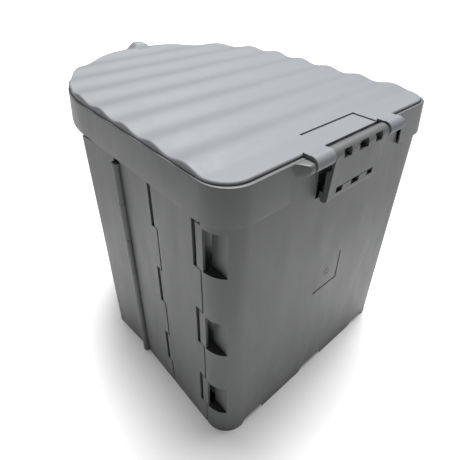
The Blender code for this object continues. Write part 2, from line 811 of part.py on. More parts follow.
def wave_top(y):
    """Height of the lid's upper face: flat by the hinge, then waves that climb a little."""
    if y <= FIRST_TROUGH:
        return LID_LOW
    wave = WAVE_RISE * (1 - math.cos(math.tau * (y - FIRST_TROUGH) / WAVE_PITCH)) / 2
    return LID_LOW + wave + LID_CROWN * eased(y, *LID_CROWN_YS)


def wave_line(drop):
    """The lid's section from hinge side to front, lowered by drop."""
    step = WAVE_PITCH / WAVE_STEPS
    end = ROUND_Y + HALF_WIDTH
    count = math.ceil((end - FIRST_TROUGH) / step)
    ys = [0.0] + [FIRST_TROUGH + step * i for i in range(count + 1)]
    return [(y, wave_top(y) - drop) for y in ys]


def lid_plan(extra=0.0):
    return plan(LID_INSET + extra, rear=LID_REAR + extra)


def under_lid(drop, floor):
    """Everything between a height and the lid's lowered upper face."""
    line = wave_line(drop)
    section = line + [(line[-1][0], floor), (line[0][0], floor)]
    return along_x([section], -HALF_WIDTH, HALF_WIDTH)


def lift_tab():
    """Arched hump that grows out of the lid's edge, hollow underneath for the fingers."""
    lid_end = ROUND_Y + HALF_WIDTH - LID_INSET
    rings = []
    for i in range(TAB_STEPS + 1):
        y = TAB_START_Y + (TAB_END_Y - TAB_START_Y) * i / TAB_STEPS
        base = wave_top(min(y, lid_end)) - LID_SHEET / 2
        rise = (TAB_RISE + LID_SHEET / 2) * eased(y, TAB_START_Y, lid_end - 2 * MM)
        ring = [(TAB_X + TAB_HALF, y, TAB_BOTTOM), (TAB_X - TAB_HALF, y, TAB_BOTTOM)]
        for k in range(TAB_STEPS + 1):
            x = -TAB_HALF + 2 * TAB_HALF * k / TAB_STEPS
            ring.append((TAB_X + x, y, base + rise * (1 - eased(abs(x), TAB_FLAT, TAB_HALF))))
        rings.append(ring)
    tab = lofted(rings)
    half, height = TAB_HOLLOW
    foot = TAB_BOTTOM - 1 * MM
    arch = [(TAB_X + half, foot)]
    arch += [(TAB_X + x * half, TAB_HOLLOW_SPRING + height * z) for x, z in arc((0, 0), 1, 0, 180, 10)]
    arch += [(TAB_X - half, foot)]
    return cut(tab, along_y([arch], lid_end + 0.5 * MM, TAB_END_Y + 1 * MM))


def lid():
    """Waved lid with skirt, gasket rib, clip pad, hinge knuckles and lift tab."""
    low = LID_LOW - LID_REACH_DOWN
    top = LID_LOW + LID_REACH_UP
    section = wave_line(0) + wave_line(LID_SHEET)[::-1]
    sheet = along_x([section], -HALF_WIDTH, HALF_WIDTH)
    sheet = common(sheet, upright([lid_plan()], low, top))

    skirt = upright([lid_plan(), lid_plan(LID_SKIRT_WALL)], LID_SKIRT_BOTTOM, top)
    at_hinge = ((-HALF_WIDTH, 0, low), (HALF_WIDTH, LID_SKIRT_START_Y, top + 1 * MM))
    skirt = cut(skirt, boxes(at_hinge))
    skirt = common(skirt, under_lid(LID_SHEET / 2, low))
    rib = upright([lid_plan(GASKET_RIB[0]), lid_plan(GASKET_RIB[1])], LID_SKIRT_BOTTOM, top)
    rib = common(rib, under_lid(LID_SHEET / 2, low))
    sheet = join(join(sheet, skirt), rib)

    floor = (
        (-PAD_HALF - 2 * MM, LID_REAR, LID_LOW - LID_SHEET),
        (PAD_HALF + 2 * MM, PAD_BACK_Y + 2 * MM, LID_LOW - 0.2 * MM),
    )
    pad = ((-PAD_HALF, 0, PAD_TOP), (PAD_HALF, PAD_BACK_Y, top))
    sheet = cut(join(sheet, boxes(floor)), boxes(pad))

    for side in (-1, 1):
        low_x, high_x = sorted((side * KNUCKLE_IN, side * KNUCKLE_OUT))
        arm = ((low_x, HINGE_Y, LID_LOW - LID_SHEET + 0.2 * MM), (high_x, ARM_BACK_Y, ARM_TOP))
        barrel = (low_x, KNUCKLE_Y, KNUCKLE_Z), (high_x, KNUCKLE_Y, KNUCKLE_Z)
        sheet = join(sheet, boxes(arm))
        sheet = join(sheet, bars(KNUCKLE_R, 24, barrel))
    bore = (-KNUCKLE_OUT - 1 * MM, HINGE_Y, HINGE_Z), (KNUCKLE_OUT + 1 * MM, HINGE_Y, HINGE_Z)
    sheet = cut(sheet, bars(HINGE_BORE_R, 12, bore))
    return join(sheet, lift_tab())


def lid_gasket():
    """Soft ring between the lid's skirt and rib that presses on the tank flange."""
    bottom = TANK_TOP + GAP
    top = LID_LOW - LID_SHEET - GAP
    return upright([lid_plan(GASKET[0]), lid_plan(GASKET[1])], bottom, top)


def hinge_clip():
    """Clip that turns on the lid's hinge pin and tucks its foot into the hinge wall."""
    front = HINGE_Y - CLIP_R
    plate = [
        (front, HINGE_Z),
        (CLIP_FOOT_Y, CLIP_FOOT_Z),
        (CLIP_FOOT_Y + CLIP_SHEET, CLIP_FOOT_Z),
        (front + CLIP_SHEET, HINGE_Z),
    ]
    clip = along_x([plate], -CLIP_HALF, CLIP_HALF)
    foot_end = WALL_INSET - 0.5 * MM
    foot_top = CLIP_FOOT_Z + CLIP_FOOT_HEIGHT
    foot_outline = [(foot_end, foot_top), (CLIP_FOOT_Y, foot_top)]
    middle = (CLIP_FOOT_Y + CLIP_FOOT_R, CLIP_FOOT_Z + 0.5 * MM)
    foot_outline += arc(middle, CLIP_FOOT_R, 180, 300, 6)
    foot_outline += [(foot_end, CLIP_FOOT_Z + 1 * MM)]
    clip = join(clip, along_x([foot_outline], -CLIP_HALF, CLIP_HALF))
    low, high = CLIP_TONGUE_Z
    tongue = (-CLIP_TONGUE_HALF, 0, low), (CLIP_TONGUE_HALF, WALL_INSET + 4 * MM, high)
    clip = join(clip, boxes(tongue))
    flange_foot = CLIP_FOOT_Z + CLIP_FOOT_HEIGHT / 2
    flange = [
        (CLIP_FOOT_Y, CLIP_FLANGE_TOP),
        (CLIP_FOOT_Y + 1 * MM, flange_foot),
        (CLIP_FLANGE_BACK_Y, flange_foot),
        (CLIP_FLANGE_BACK_Y, CLIP_FLANGE_TOP - 2 * MM),
    ]
    clip = join(clip, along_x([flange], -CLIP_HALF, -CLIP_HALF + CLIP_SIDE))
    clip = join(clip, along_x([flange], CLIP_HALF - CLIP_SIDE, CLIP_HALF))
    barrel = (-CLIP_HALF, HINGE_Y, HINGE_Z), (CLIP_HALF, HINGE_Y, HINGE_Z)
    clip = join(clip, bars(CLIP_R, 24, barrel))
    bore = (-CLIP_HALF - 1 * MM, HINGE_Y, HINGE_Z), (CLIP_HALF + 1 * MM, HINGE_Y, HINGE_Z)
    clip = cut(clip, bars(HINGE_BORE_R, 12, bore))
    low, high = CLIP_WINDOW_Z
    back = CLIP_WINDOW_BACK_Y
    holes = [((left, CLIP_FRONT_Y, low), (right, back, high)) for left, right in CLIP_WINDOWS]
    low, high = CLIP_SLOT_Z
    holes += [((left, CLIP_FRONT_Y, low), (right, CLIP_BACK_Y, high)) for left, right in CLIP_SLOTS]
    return cut(clip, boxes(*holes))


# ---------------------------------------------------------------- basket


def square_plan(half, corner):
    points = []
    for x, y, start in ((1, 1, 0), (-1, 1, 90), (-1, -1, 180), (1, -1, 270)):
        middle = (x * (half - corner), BASKET_Y + y * (half - corner))
        points += arc(middle, corner, start, start + 90, 5)
    return points


def wash_basket():
    """Slotted basket with a rim, bail holes and stops for the bail."""
    outer = square_plan(BASKET_HALF, BASKET_CORNER)
    inner = square_plan(BASKET_HALF - BASKET_WALL, BASKET_CORNER - BASKET_WALL)
    rim = square_plan(BASKET_HALF + BASKET_RIM, BASKET_CORNER + BASKET_RIM)
    basket = upright([outer], BASKET_BOTTOM, BASKET_TOP - 1 * MM)
    basket = join(basket, upright([rim], BASKET_TOP - 2 * MM, BASKET_TOP))
    basket = cut(basket, upright([inner], BASKET_BOTTOM + BASKET_WALL, BASKET_TOP + 1 * MM))

    span = BASKET_HALF + 5 * MM
    low_z, high_z = BASKET_SLOT_Z
    middles = [(i - (BASKET_SLOTS - 1) / 2) * BASKET_SLOT_PITCH for i in range(BASKET_SLOTS)]
    across = []
    along = []
    floor = []
    for middle in middles:
        low, high = middle - BASKET_SLOT_HALF, middle + BASKET_SLOT_HALF
        across.append(((low, BASKET_Y - span, low_z), (high, BASKET_Y + span, high_z)))
        along.append(((-span, BASKET_Y + low, low_z), (span, BASKET_Y + high, high_z)))
        near, far = BASKET_Y - FLOOR_SLOT_HALF_LENGTH, BASKET_Y + FLOOR_SLOT_HALF_LENGTH
        floor.append(((low, near, BASKET_BOTTOM - 1 * MM), (high, far, BASKET_BOTTOM + 5 * MM)))
    for cutters in (across, along, floor):
        basket = cut(basket, boxes(*cutters))

    stops = []
    stop_top = BAIL_Z - BAIL_R - GAP
    stop_length, stop_height = BAIL_STOP
    for offset in BAIL_STOP_YS:
        y = BASKET_Y + offset
        low = (BASKET_HALF - BASKET_WALL / 2, y, stop_top - stop_height)
        stops += both_sides(low, (BAIL_X + BAIL_R, y + stop_length, stop_top))
    basket = join(basket, boxes(*stops))
    hole = (-span, BASKET_Y, BAIL_Z), (span, BASKET_Y, BAIL_Z)
    return cut(basket, bars(BUSH_R + GAP, 16, hole))


def bail_bush():
    """Flanged plastic bush in the right basket wall."""
    wall_in = BASKET_HALF - BASKET_WALL - 0.5 * MM
    wall_out = BASKET_HALF + GAP
    bush = bars(BUSH_R, 16, ((wall_in, BASKET_Y, BAIL_Z), (wall_out + 1 * MM, BASKET_Y, BAIL_Z)))
    flange = bars(BUSH_R + 2 * MM, 16, ((wall_out, BASKET_Y, BAIL_Z), (wall_out + 2 * MM, BASKET_Y, BAIL_Z)))
    bore = (wall_in - 1 * MM, BASKET_Y, BAIL_Z), (wall_out + 5 * MM, BASKET_Y, BAIL_Z)
    return cut(join(bush, flange), bars(BAIL_R + GAP, 12, bore))


def basket_handle():
    """Wire bail folded down over the basket's front edge."""
    far = BASKET_Y + BAIL_REACH
    stub = BASKET_HALF - 6 * MM
    left = arc((-BAIL_X + BAIL_BEND, far - BAIL_BEND), BAIL_BEND, 180, 90, 4)
    right = arc((BAIL_X - BAIL_BEND, far - BAIL_BEND), BAIL_BEND, 90, 0, 4)
    route = [(-stub, BASKET_Y), (-BAIL_X, BASKET_Y)] + left + right
    route += [(BAIL_X, BASKET_Y), (stub, BASKET_Y)]
    curve = bpy.data.curves.new("bail", "CURVE")
    curve.dimensions = "3D"
    curve.bevel_depth = BAIL_R
    curve.bevel_resolution = 2
    curve.use_fill_caps = True
    spline = curve.splines.new("POLY")
    spline.points.add(len(route) - 1)
    for point, (x, y) in zip(spline.points, route):
        point.co = (x, y, BAIL_Z, 1)
    shape = bpy.data.objects.new("bail", curve)
    bpy.context.scene.collection.objects.link(shape)
    return closed_mesh(shape)


def handle_grip():
    """Sleeve on the middle of the bail."""
    y = BASKET_Y + BAIL_REACH
    grip = bars(GRIP_R, 20, ((-GRIP_HALF, y, BAIL_Z), (GRIP_HALF, y, BAIL_Z)))
    bore = (-GRIP_HALF - 1 * MM, y, BAIL_Z), (GRIP_HALF + 1 * MM, y, BAIL_Z)
    return cut(grip, bars(BAIL_R + GAP, 12, bore))


def basket_foot():
    """Soft pad under the basket."""
    bottom = TANK_BOTTOM + TANK_WALL + GAP
    top = BASKET_BOTTOM - GAP
    edge = 1 * MM
    radius = BASKET_FOOT_R
    profile = [(0, top), (radius, top), (radius, bottom + edge), (radius - edge, bottom), (0, bottom)]
    return turned(profile, 16)


# ---------------------------------------------------------------- assembly


def build():
    clear_scene()
    parts = bpy.data.collections.new("resin_wash_station")
    bpy.context.scene.collection.children.link(parts)

    housing_grey = material("housing_grey", HOUSING_GREY, 0.5)
    lid_grey = material("lid_grey", LID_GREY, 0.45)
    tank_white = material("tank_white", TANK_WHITE, 0.35)
    basket_grey = material("basket_grey", BASKET_GREY, 0.4)
    rubber = material("rubber_black", RUBBER_BLACK, 0.8)
    steel = material("steel", STEEL, 0.3, 1.0)

    assembly = bpy.data.objects.new("assembly", None)
    parts.objects.link(assembly)
    assembly.location = (0, -DEPTH_CENTRE, 0)

    hinge_axis = (0, HINGE_Y, HINGE_Z)
    lid_pivot = pivot("lid_pivot", hinge_axis, assembly, parts)
    clip_pivot = pivot("clip_pivot", hinge_axis, assembly, parts)
    basket_slide = pivot("basket_slide", (0, BASKET_Y, BASKET_BOTTOM), assembly, parts)
    bail_pivot = pivot("bail_pivot", (0, BASKET_Y, BAIL_Z), assembly, parts)

    finish(rear_shell(), "rear_shell", housing_grey, assembly, parts)
    finish(front_shell(), "front_shell", housing_grey, assembly, parts)
    finish(rim_collar(), "rim_collar", housing_grey, assembly, parts)
    finish(base_tray(), "base_tray", housing_grey, assembly, parts)
    screws = {"base_screw_" + name: place for name, place in screw_places().items()}
    copies(base_screw(), screws, steel, assembly, parts)
    finish(hinge_pin(), "hinge_pin", steel, assembly, parts)
    finish(wash_tank(), "wash_tank", tank_white, assembly, parts)

    pads = {
        "foot_rear_left": (-FOOT_X, FOOT_REAR_Y),
        "foot_rear_right": (FOOT_X, FOOT_REAR_Y),
        "foot_front_left": (-FOOT_X, FOOT_FRONT_Y),
        "foot_front_right": (FOOT_X, FOOT_FRONT_Y),
        "foot_centre": (0, DEPTH_CENTRE),
    }
    copies(foot(), pads, rubber, assembly, parts)

    for name, maker in (("rear_side_panel", rear_side_panel), ("middle_side_panel", middle_side_panel)):
        right = maker()
        finish(mirrored(right), "left_" + name, housing_grey, assembly, parts)
        finish(right, "right_" + name, housing_grey, assembly, parts)
    for side, name in ((-1, "left"), (1, "right")):
        hinge = pivot(name + "_flap_pivot", (side * BARREL_X, BARREL_Y, 0), assembly, parts)
        for piece, look, maker, parent in (
            ("_side_flap", housing_grey, flap, hinge),
            ("_flap_pin", steel, flap_pin, assembly),
        ):
            shape = maker()
            if side < 0:
                other = mirrored(shape)
                bpy.data.objects.remove(shape)
                shape = other
            finish(shape, name + piece, look, parent, parts)

    finish(lid(), "lid", lid_grey, lid_pivot, parts)
    finish(lid_gasket(), "lid_gasket", rubber, lid_pivot, parts)
    finish(hinge_clip(), "hinge_clip", housing_grey, clip_pivot, parts)

    finish(wash_basket(), "wash_basket", basket_grey, basket_slide, parts)
    near = BASKET_Y - BASKET_FOOT_REACH
    far = BASKET_Y + BASKET_FOOT_REACH
    pads = {
        "basket_foot_rear_left": (-BASKET_FOOT_REACH, near),
        "basket_foot_rear_right": (BASKET_FOOT_REACH, near),
        "basket_foot_front_left": (-BASKET_FOOT_REACH, far),
        "basket_foot_front_right": (BASKET_FOOT_REACH, far),
    }
    copies(basket_foot(), pads, rubber, basket_slide, parts)
    bush = bail_bush()
    finish(mirrored(bush), "left_bail_bush", tank_white, basket_slide, parts)
    finish(bush, "right_bail_bush", tank_white, basket_slide, parts)
    finish(basket_handle(), "basket_handle", steel, bail_pivot, parts)
    finish(handle_grip(), "handle_grip", rubber, bail_pivot, parts)


build()
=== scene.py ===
"""Looks of the resin wash station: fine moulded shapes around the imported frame, materials, light.

Lengths are in metres and +Z is up.  Local plans are measured from the outer face of the rim
band on the hinge wall, and each finished piece is then moved by SHIFT into the frame.
"""

import json
import math

import bmesh
import bpy
from mathutils import Matrix, Vector


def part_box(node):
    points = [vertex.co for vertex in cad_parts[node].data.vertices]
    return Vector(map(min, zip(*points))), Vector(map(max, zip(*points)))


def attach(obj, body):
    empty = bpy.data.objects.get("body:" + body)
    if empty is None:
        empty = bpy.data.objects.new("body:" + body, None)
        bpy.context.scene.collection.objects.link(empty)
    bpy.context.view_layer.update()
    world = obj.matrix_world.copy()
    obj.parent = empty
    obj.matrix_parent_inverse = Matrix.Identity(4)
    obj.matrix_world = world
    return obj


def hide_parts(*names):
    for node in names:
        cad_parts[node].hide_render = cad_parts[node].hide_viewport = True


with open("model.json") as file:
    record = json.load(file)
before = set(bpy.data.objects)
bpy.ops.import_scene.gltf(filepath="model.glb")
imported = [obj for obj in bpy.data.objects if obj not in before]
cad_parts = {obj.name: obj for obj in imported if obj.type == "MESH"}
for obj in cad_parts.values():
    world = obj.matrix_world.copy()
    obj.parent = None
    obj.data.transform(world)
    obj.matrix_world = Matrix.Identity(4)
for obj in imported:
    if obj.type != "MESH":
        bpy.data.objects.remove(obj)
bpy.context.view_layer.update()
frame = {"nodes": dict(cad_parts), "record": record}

MM = 0.001

# Plan of the housing
HALF_WIDTH = 150 * MM
ROUND_Y = 222 * MM
REAR_CORNER = 30 * MM
WALL_INSET = 3.2 * MM
WALL = 2.6 * MM
FRONT_INSET = 9 * MM
FRONT_SHELL_START_Y = 150 * MM
EDGE_SOFTNESS = 0.45 * MM
CORNER_STEPS = 18
ROUND_STEPS = 96
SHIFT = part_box("rim_collar")[1].y - ROUND_Y - HALF_WIDTH

# Heights
SHELL_TOP = 316.5 * MM
BAND_BOTTOM = 289.8 * MM
RIM_TOP = 323.3 * MM
BAND_WALL = 2.9 * MM
BAND_DRAFT = 2 * MM
BAND_FOOT_R = 0.9 * MM
LIP_R = 1.1 * MM
LIP_INNER = 3.6 * MM
LIP_INNER_REAR = 5.2 * MM
LIP_INNER_R = 0.4 * MM
LEDGE_BOTTOM = 316.8 * MM
LEDGE_TOP = 319 * MM
LEDGE_INSET = 14 * MM

# Comb seams and pockets
FINGER_BOTTOM = 37.5 * MM
FINGER_HEIGHT = 47 * MM
FINGER_PITCH = 99.7 * MM
FINGER_COUNT = 3
SEAM_GAP = 1.6 * MM
FINGER_GAP = 0.8 * MM
SLOT_WIDTH = 4.8 * MM
REAR_SEAM_Y = 31 * MM
REAR_FINGER = 6.4 * MM
MIDDLE_SEAM_Y = 96.9 * MM
MIDDLE_FINGER = 4.6 * MM
MIDDLE_SEAM_LIFT = 3.5 * MM
POCKET_FACE_X = 137.1 * MM
POCKET_SIDE_Y = 29 * MM
POCKET_WALL = 2 * MM
POCKET_HEIGHT = 44.5 * MM

# Flap hinges
BARREL_X = 147.6 * MM
BARREL_Y = 160.7 * MM
BARREL_R = 4.4 * MM
BARREL_TOP = 284 * MM
BARREL_CLEARANCE = 0.4 * MM
KNUCKLES = 6
KNUCKLE_GAP = 0.4 * MM
FLAP_LENGTH = 65.1 * MM
FLAP_BOTTOM = 0.8 * MM
FLAP_TOP = 289.3 * MM
FLAP_AJAR = math.radians(3.6)
FLAP_BORE_R = 1.8 * MM

# Hinge wall
ARCH_HEIGHT = 7.5 * MM
ARCH_SLOPE = 5 * MM
ARCHES = ((-120.5 * MM, -86 * MM), (-22.5 * MM, 22.5 * MM), (86 * MM, 120.5 * MM))
PANEL_RECESS_Z = 162 * MM
PANEL_RECESS_HALF = 20.5 * MM
PANEL_RECESS_DEPTH = 0.6 * MM
RING_R = 4.6 * MM
RING_HOLE_R = 3.4 * MM
RING_YS = (3.5 * MM, 4 * MM)
WALL_CUT_YS = (2 * MM, 7 * MM)
WALL_NOTCH_HALF = 83 * MM
WALL_NOTCH_BOTTOM = 310.5 * MM
LATCH_OPENING_HALF = 43 * MM
LATCH_OPENING_BOTTOM = 276 * MM

# Lid hinge and clip
HINGE_Y = -1.8 * MM
HINGE_Z = 318.7 * MM
HINGE_R = 6.8 * MM
KNUCKLE_R = 7.2 * MM
KNUCKLE_Y = -2.6 * MM
KNUCKLE_Z = 320.1 * MM
CLIP_R = 7.2 * MM
HINGE_BORE_R = 2.3 * MM
CLIP_HALF = 39.5 * MM
KNUCKLE_IN = 41.4 * MM
KNUCKLE_OUT = 64.3 * MM
EAR_IN = 64.8 * MM
EAR_OUT = 69.6 * MM
EAR_END_X = 77.5 * MM
EAR_ROOT_Y = 2.2 * MM
EAR_TOP = 323.3 * MM
EAR_SOFTNESS = 1 * MM
EAR_STEPS = 40
BAND_SLOT_X = 95 * MM
BAND_SLOT_Z = (292 * MM, 311.2 * MM)
BAND_SLOT_YS = (1.2 * MM, 2.1 * MM)
WALL_SLOT_X = (80 * MM, 85 * MM)
BAND_ENDS = (-81 * MM, 85.5 * MM)
BORE_HALF = 70.5 * MM
CLIP_SHEET = 2.4 * MM
CLIP_SIDE = 2.2 * MM
CLIP_FRONT_Y = -20 * MM
CLIP_BACK_Y = -2 * MM
CLIP_TONGUE_HALF = 30 * MM
CLIP_FOOT_Y = -6.2 * MM
CLIP_FOOT_Z = 277.5 * MM
CLIP_FLANGE_TOP = 306 * MM
CLIP_FLANGE_BACK_Y = -1.5 * MM
CLIP_WINDOWS = ((-29 * MM, -18 * MM), (-7 * MM, 7 * MM), (18 * MM, 29 * MM))
CLIP_WINDOW_Z = (315.4 * MM, 323.4 * MM)
CLIP_WINDOW_BACK_Y = 7 * MM
CLIP_GROOVE = (29 * MM, -6.3 * MM, 286 * MM, 286.7 * MM)
CLIP_SLOTS = ((-28.5 * MM, -19 * MM), (-6 * MM, 6 * MM), (19 * MM, 28.5 * MM))
CLIP_SLOT_Z = (280.6 * MM, 286.4 * MM)

# Lid
LID_INSET = 3.9 * MM
LID_REAR = 6 * MM
LID_LOW = 325.9 * MM
LID_SHEET = 2.4 * MM
LID_SIDE_STEPS = 64
LID_EDGE = (2 * MM, 2.2 * MM)
LID_EDGE_FOOT = 3.3 * MM
WAVE_RISE = 3.5 * MM
LID_CROWN = 2.2 * MM
LID_CROWN_YS = (90 * MM, 280 * MM)
WAVE_PITCH = 44.7 * MM
FIRST_TROUGH = 26.9 * MM
LID_SKIRT_BOTTOM = 322 * MM
LID_SKIRT_WALL = 2.2 * MM
LID_SKIRT_START_Y = 24 * MM
PAD_HALF = 39.5 * MM
PAD_BACK_Y = 31 * MM
PAD_TOP = 324.6 * MM
ARM_TOP = 327 * MM
ARM_BACK_Y = 6.5 * MM
ARM_FOOT_Y = 9.5 * MM
TAB_X = 4 * MM
TAB_HALF = 18 * MM
TAB_FLAT = 4 * MM
TAB_START_Y = 350 * MM
TAB_END_Y = 375 * MM
TAB_BOTTOM = 326.8 * MM
TAB_RISE = 6.6 * MM
TAB_HOLLOW = (10.5 * MM, 5 * MM)
TAB_STEPS = 32


# ---------------------------------------------------------------- shape helpers


def link(name, mesh):
    made = bpy.data.objects.new(name, mesh)
    bpy.context.scene.collection.objects.link(made)
    return made


def from_bmesh(work, name="shape"):
    mesh = bpy.data.meshes.new(name)
    work.to_mesh(mesh)
    work.free()
    return link(name, mesh)


def closed_mesh(shape, placing=Matrix.Identity(4)):
    """Replaces an object by its evaluated mesh, welded and with flat faces merged."""
    bpy.context.view_layer.update()
    graph = bpy.context.evaluated_depsgraph_get()
    mesh = bpy.data.meshes.new_from_object(shape.evaluated_get(graph))
    mesh.transform(placing @ shape.matrix_world)
    work = bmesh.new()
    work.from_mesh(mesh)
    bpy.data.meshes.remove(mesh)
    bpy.data.objects.remove(shape)
    bmesh.ops.remove_doubles(work, verts=work.verts, dist=0.002 * MM)
    bmesh.ops.dissolve_limit(
        work, angle_limit=math.radians(0.1), verts=work.verts, edges=work.edges
    )
    bmesh.ops.recalc_face_normals(work, faces=work.faces)
    return from_bmesh(work)


def flat_outline(loops, half_thickness):
    """A filled 2D curve; loops inside the first one are holes."""
    curve = bpy.data.curves.new("outline", "CURVE")
    curve.dimensions = "2D"
    curve.fill_mode = "BOTH"
    curve.extrude = half_thickness
    for loop in loops:
        spline = curve.splines.new("POLY")
        spline.points.add(len(loop) - 1)
        for point, (x, y) in zip(spline.points, loop):
            point.co = (x, y, 0, 1)
        spline.use_cyclic_u = True
    return link("outline", curve)


def upright(loops, bottom, top):
    """Solid with plan loops (x, y) between two heights."""
    shape = flat_outline(loops, (top - bottom) / 2)
    return closed_mesh(shape, Matrix.Translation((0, 0, (bottom + top) / 2)))


def along_x(loops, left, right):
    """Solid with section loops (y, z) between two x values."""
    turn = Matrix(((0, 0, 1, (left + right) / 2), (1, 0, 0, 0), (0, 1, 0, 0), (0, 0, 0, 1)))
    return closed_mesh(flat_outline(loops, (right - left) / 2), turn)


def along_y(loops, near, far):
    """Solid with elevation loops (x, z) between two y values."""
    turn = Matrix(((1, 0, 0, 0), (0, 0, -1, (near + far) / 2), (0, 1, 0, 0), (0, 0, 0, 1)))
    return closed_mesh(flat_outline(loops, (far - near) / 2), turn)


def boxes(*corners):
    """One mesh of axis-aligned boxes, each given by its lowest and highest corner."""
    work = bmesh.new()
    for low, high in corners:
        low, high = Vector(low), Vector(high)
        cube = bmesh.ops.create_cube(work, size=1)["verts"]
        bmesh.ops.scale(work, vec=high - low, verts=cube)
        bmesh.ops.translate(work, vec=(low + high) / 2, verts=cube)
    return from_bmesh(work)


def cone(start, end, radius_start, radius_end, sides=48):
    """A round bar whose radius changes evenly from one end to the other."""
    work = bmesh.new()
    start, end = Vector(start), Vector(end)
    made = bmesh.ops.create_cone(
        work,
        cap_ends=True,
        segments=sides,
        radius1=radius_start,
        radius2=radius_end,
        depth=(end - start).length,
    )["verts"]
    turn = (end - start).to_track_quat("Z", "Y").to_matrix().to_4x4()
    bmesh.ops.transform(work, matrix=Matrix.Translation((start + end) / 2) @ turn, verts=made)
    return from_bmesh(work)


def bar(start, end, radius, sides=48):
    return cone(start, end, radius, radius, sides)


def combine(body, tool, operation):
    modifier = body.modifiers.new(operation.lower(), "BOOLEAN")
    modifier.operation = operation
    modifier.object = tool
    made = closed_mesh(body)
    bpy.data.objects.remove(tool)
    return made


def join(body, tool):
    return combine(body, tool, "UNION")


def cut(body, tool):
    return combine(body, tool, "DIFFERENCE")


def common(body, tool):
    return combine(body, tool, "INTERSECT")


def mirrored(shape):
    """Turns a shape into its copy on the other side of the middle plane."""
    work = bmesh.new()
    work.from_mesh(shape.data)
    bmesh.ops.scale(work, vec=(-1, 1, 1), verts=work.verts)
    bmesh.ops.reverse_faces(work, faces=work.faces)
    return from_bmesh(work)


def both_sides(low, high):
    """A box and its mirror image across the middle plane."""
    return (low, high), ((-high[0], low[1], low[2]), (-low[0], high[1], high[2]))


def arc(centre, radius, start, end, steps):
    """Points of an arc, angles in degrees from the first axis towards the second."""
    points = []
    for i in range(steps + 1):
        angle = math.radians(start + (end - start) * i / steps)
        points.append((centre[0] + radius * math.cos(angle), centre[1] + radius * math.sin(angle)))
    return points


def plan(inset, rear=None, corner=REAR_CORNER):
    """The D outline, an inset inside the band's outer face at its foot."""
    half = HALF_WIDTH - inset
    rear = inset if rear is None else rear
    radius = max(corner - inset, 0.2 * MM)
    points = arc((-half + radius, rear + radius), radius, 180, 270, CORNER_STEPS)
    points += arc((half - radius, rear + radius), radius, 270, 360, CORNER_STEPS)
    return points + arc((0, ROUND_Y), half, 0, 180, ROUND_STEPS)


def rear_path(inset, end_y):
    """The hinge wall and its two corners as an open line that ends on both sides."""
    half = HALF_WIDTH - inset
    radius = REAR_CORNER - inset
    points = [(-half, end_y)]
    points += arc((-half + radius, REAR_CORNER), radius, 180, 270, CORNER_STEPS)
    points += arc((half - radius, REAR_CORNER), radius, 270, 360, CORNER_STEPS)
    return points + [(half, end_y)]


def front_path(inset, start_y):
    """The rounded wall as an open line that starts and ends on the straight sides."""
    half = HALF_WIDTH - inset
    return [(half, start_y)] + arc((0, ROUND_Y), half, 0, 180, ROUND_STEPS) + [(-half, start_y)]


def finger_ranges(lift=0.0):
    bottoms = [FINGER_BOTTOM + lift + FINGER_PITCH * i for i in range(FINGER_COUNT)]
    return [(z, z + FINGER_HEIGHT) for z in bottoms]


def between_ranges(ranges, bottom, top):
    edges = [bottom] + [z for pair in ranges for z in pair] + [top]
    return list(zip(edges[0::2], edges[1::2]))


def loft(rings, closed=False):
    """Skins rings that have the same number of points; closed joins the last to the first."""
    work = bmesh.new()
    loops = [[work.verts.new(point) for point in ring] for ring in rings]
    pairs = list(zip(loops, loops[1:]))
    if closed:
        pairs.append((loops[-1], loops[0]))
    else:
        work.faces.new(loops[0])
        work.faces.new(loops[-1])
    for near, far in pairs:
        for i in range(len(near)):
            j = (i + 1) % len(near)
            work.faces.new((near[i], near[j], far[j], far[i]))
    bmesh.ops.recalc_face_normals(work, faces=work.faces)
    return from_bmesh(work)


# ---------------------------------------------------------------- finishing a piece


def soften(shape, width=0.5 * MM, segments=3, limit=32):
    """Rounds the sharp edges of a moulding and shades it smooth."""
    bevel = shape.modifiers.new("soft_edges", "BEVEL")
    bevel.width = width
    bevel.segments = segments
    bevel.limit_method = "ANGLE"
    bevel.angle_limit = math.radians(limit)
    bevel.use_clamp_overlap = True
    bevel.miter_outer = "MITER_ARC"
    bevel.harden_normals = True
    shape.data.shade_smooth()
    shape.data.set_sharp_from_angle(angle=math.radians(limit))
    return shape


def place(shape, name, body, look, slot, *nodes):
    """Names a piece, moves it into the frame and lets it ride on its body."""
    shape.name = name
    shape.data.name = name
    shape.data.transform(Matrix.Translation((0, SHIFT, 0)))
    shape.data.materials.clear()
    shape.data.materials.append(look)
    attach(shape, body)
    if nodes:
        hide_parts(*nodes)
    return shape


# ---------------------------------------------------------------- materials


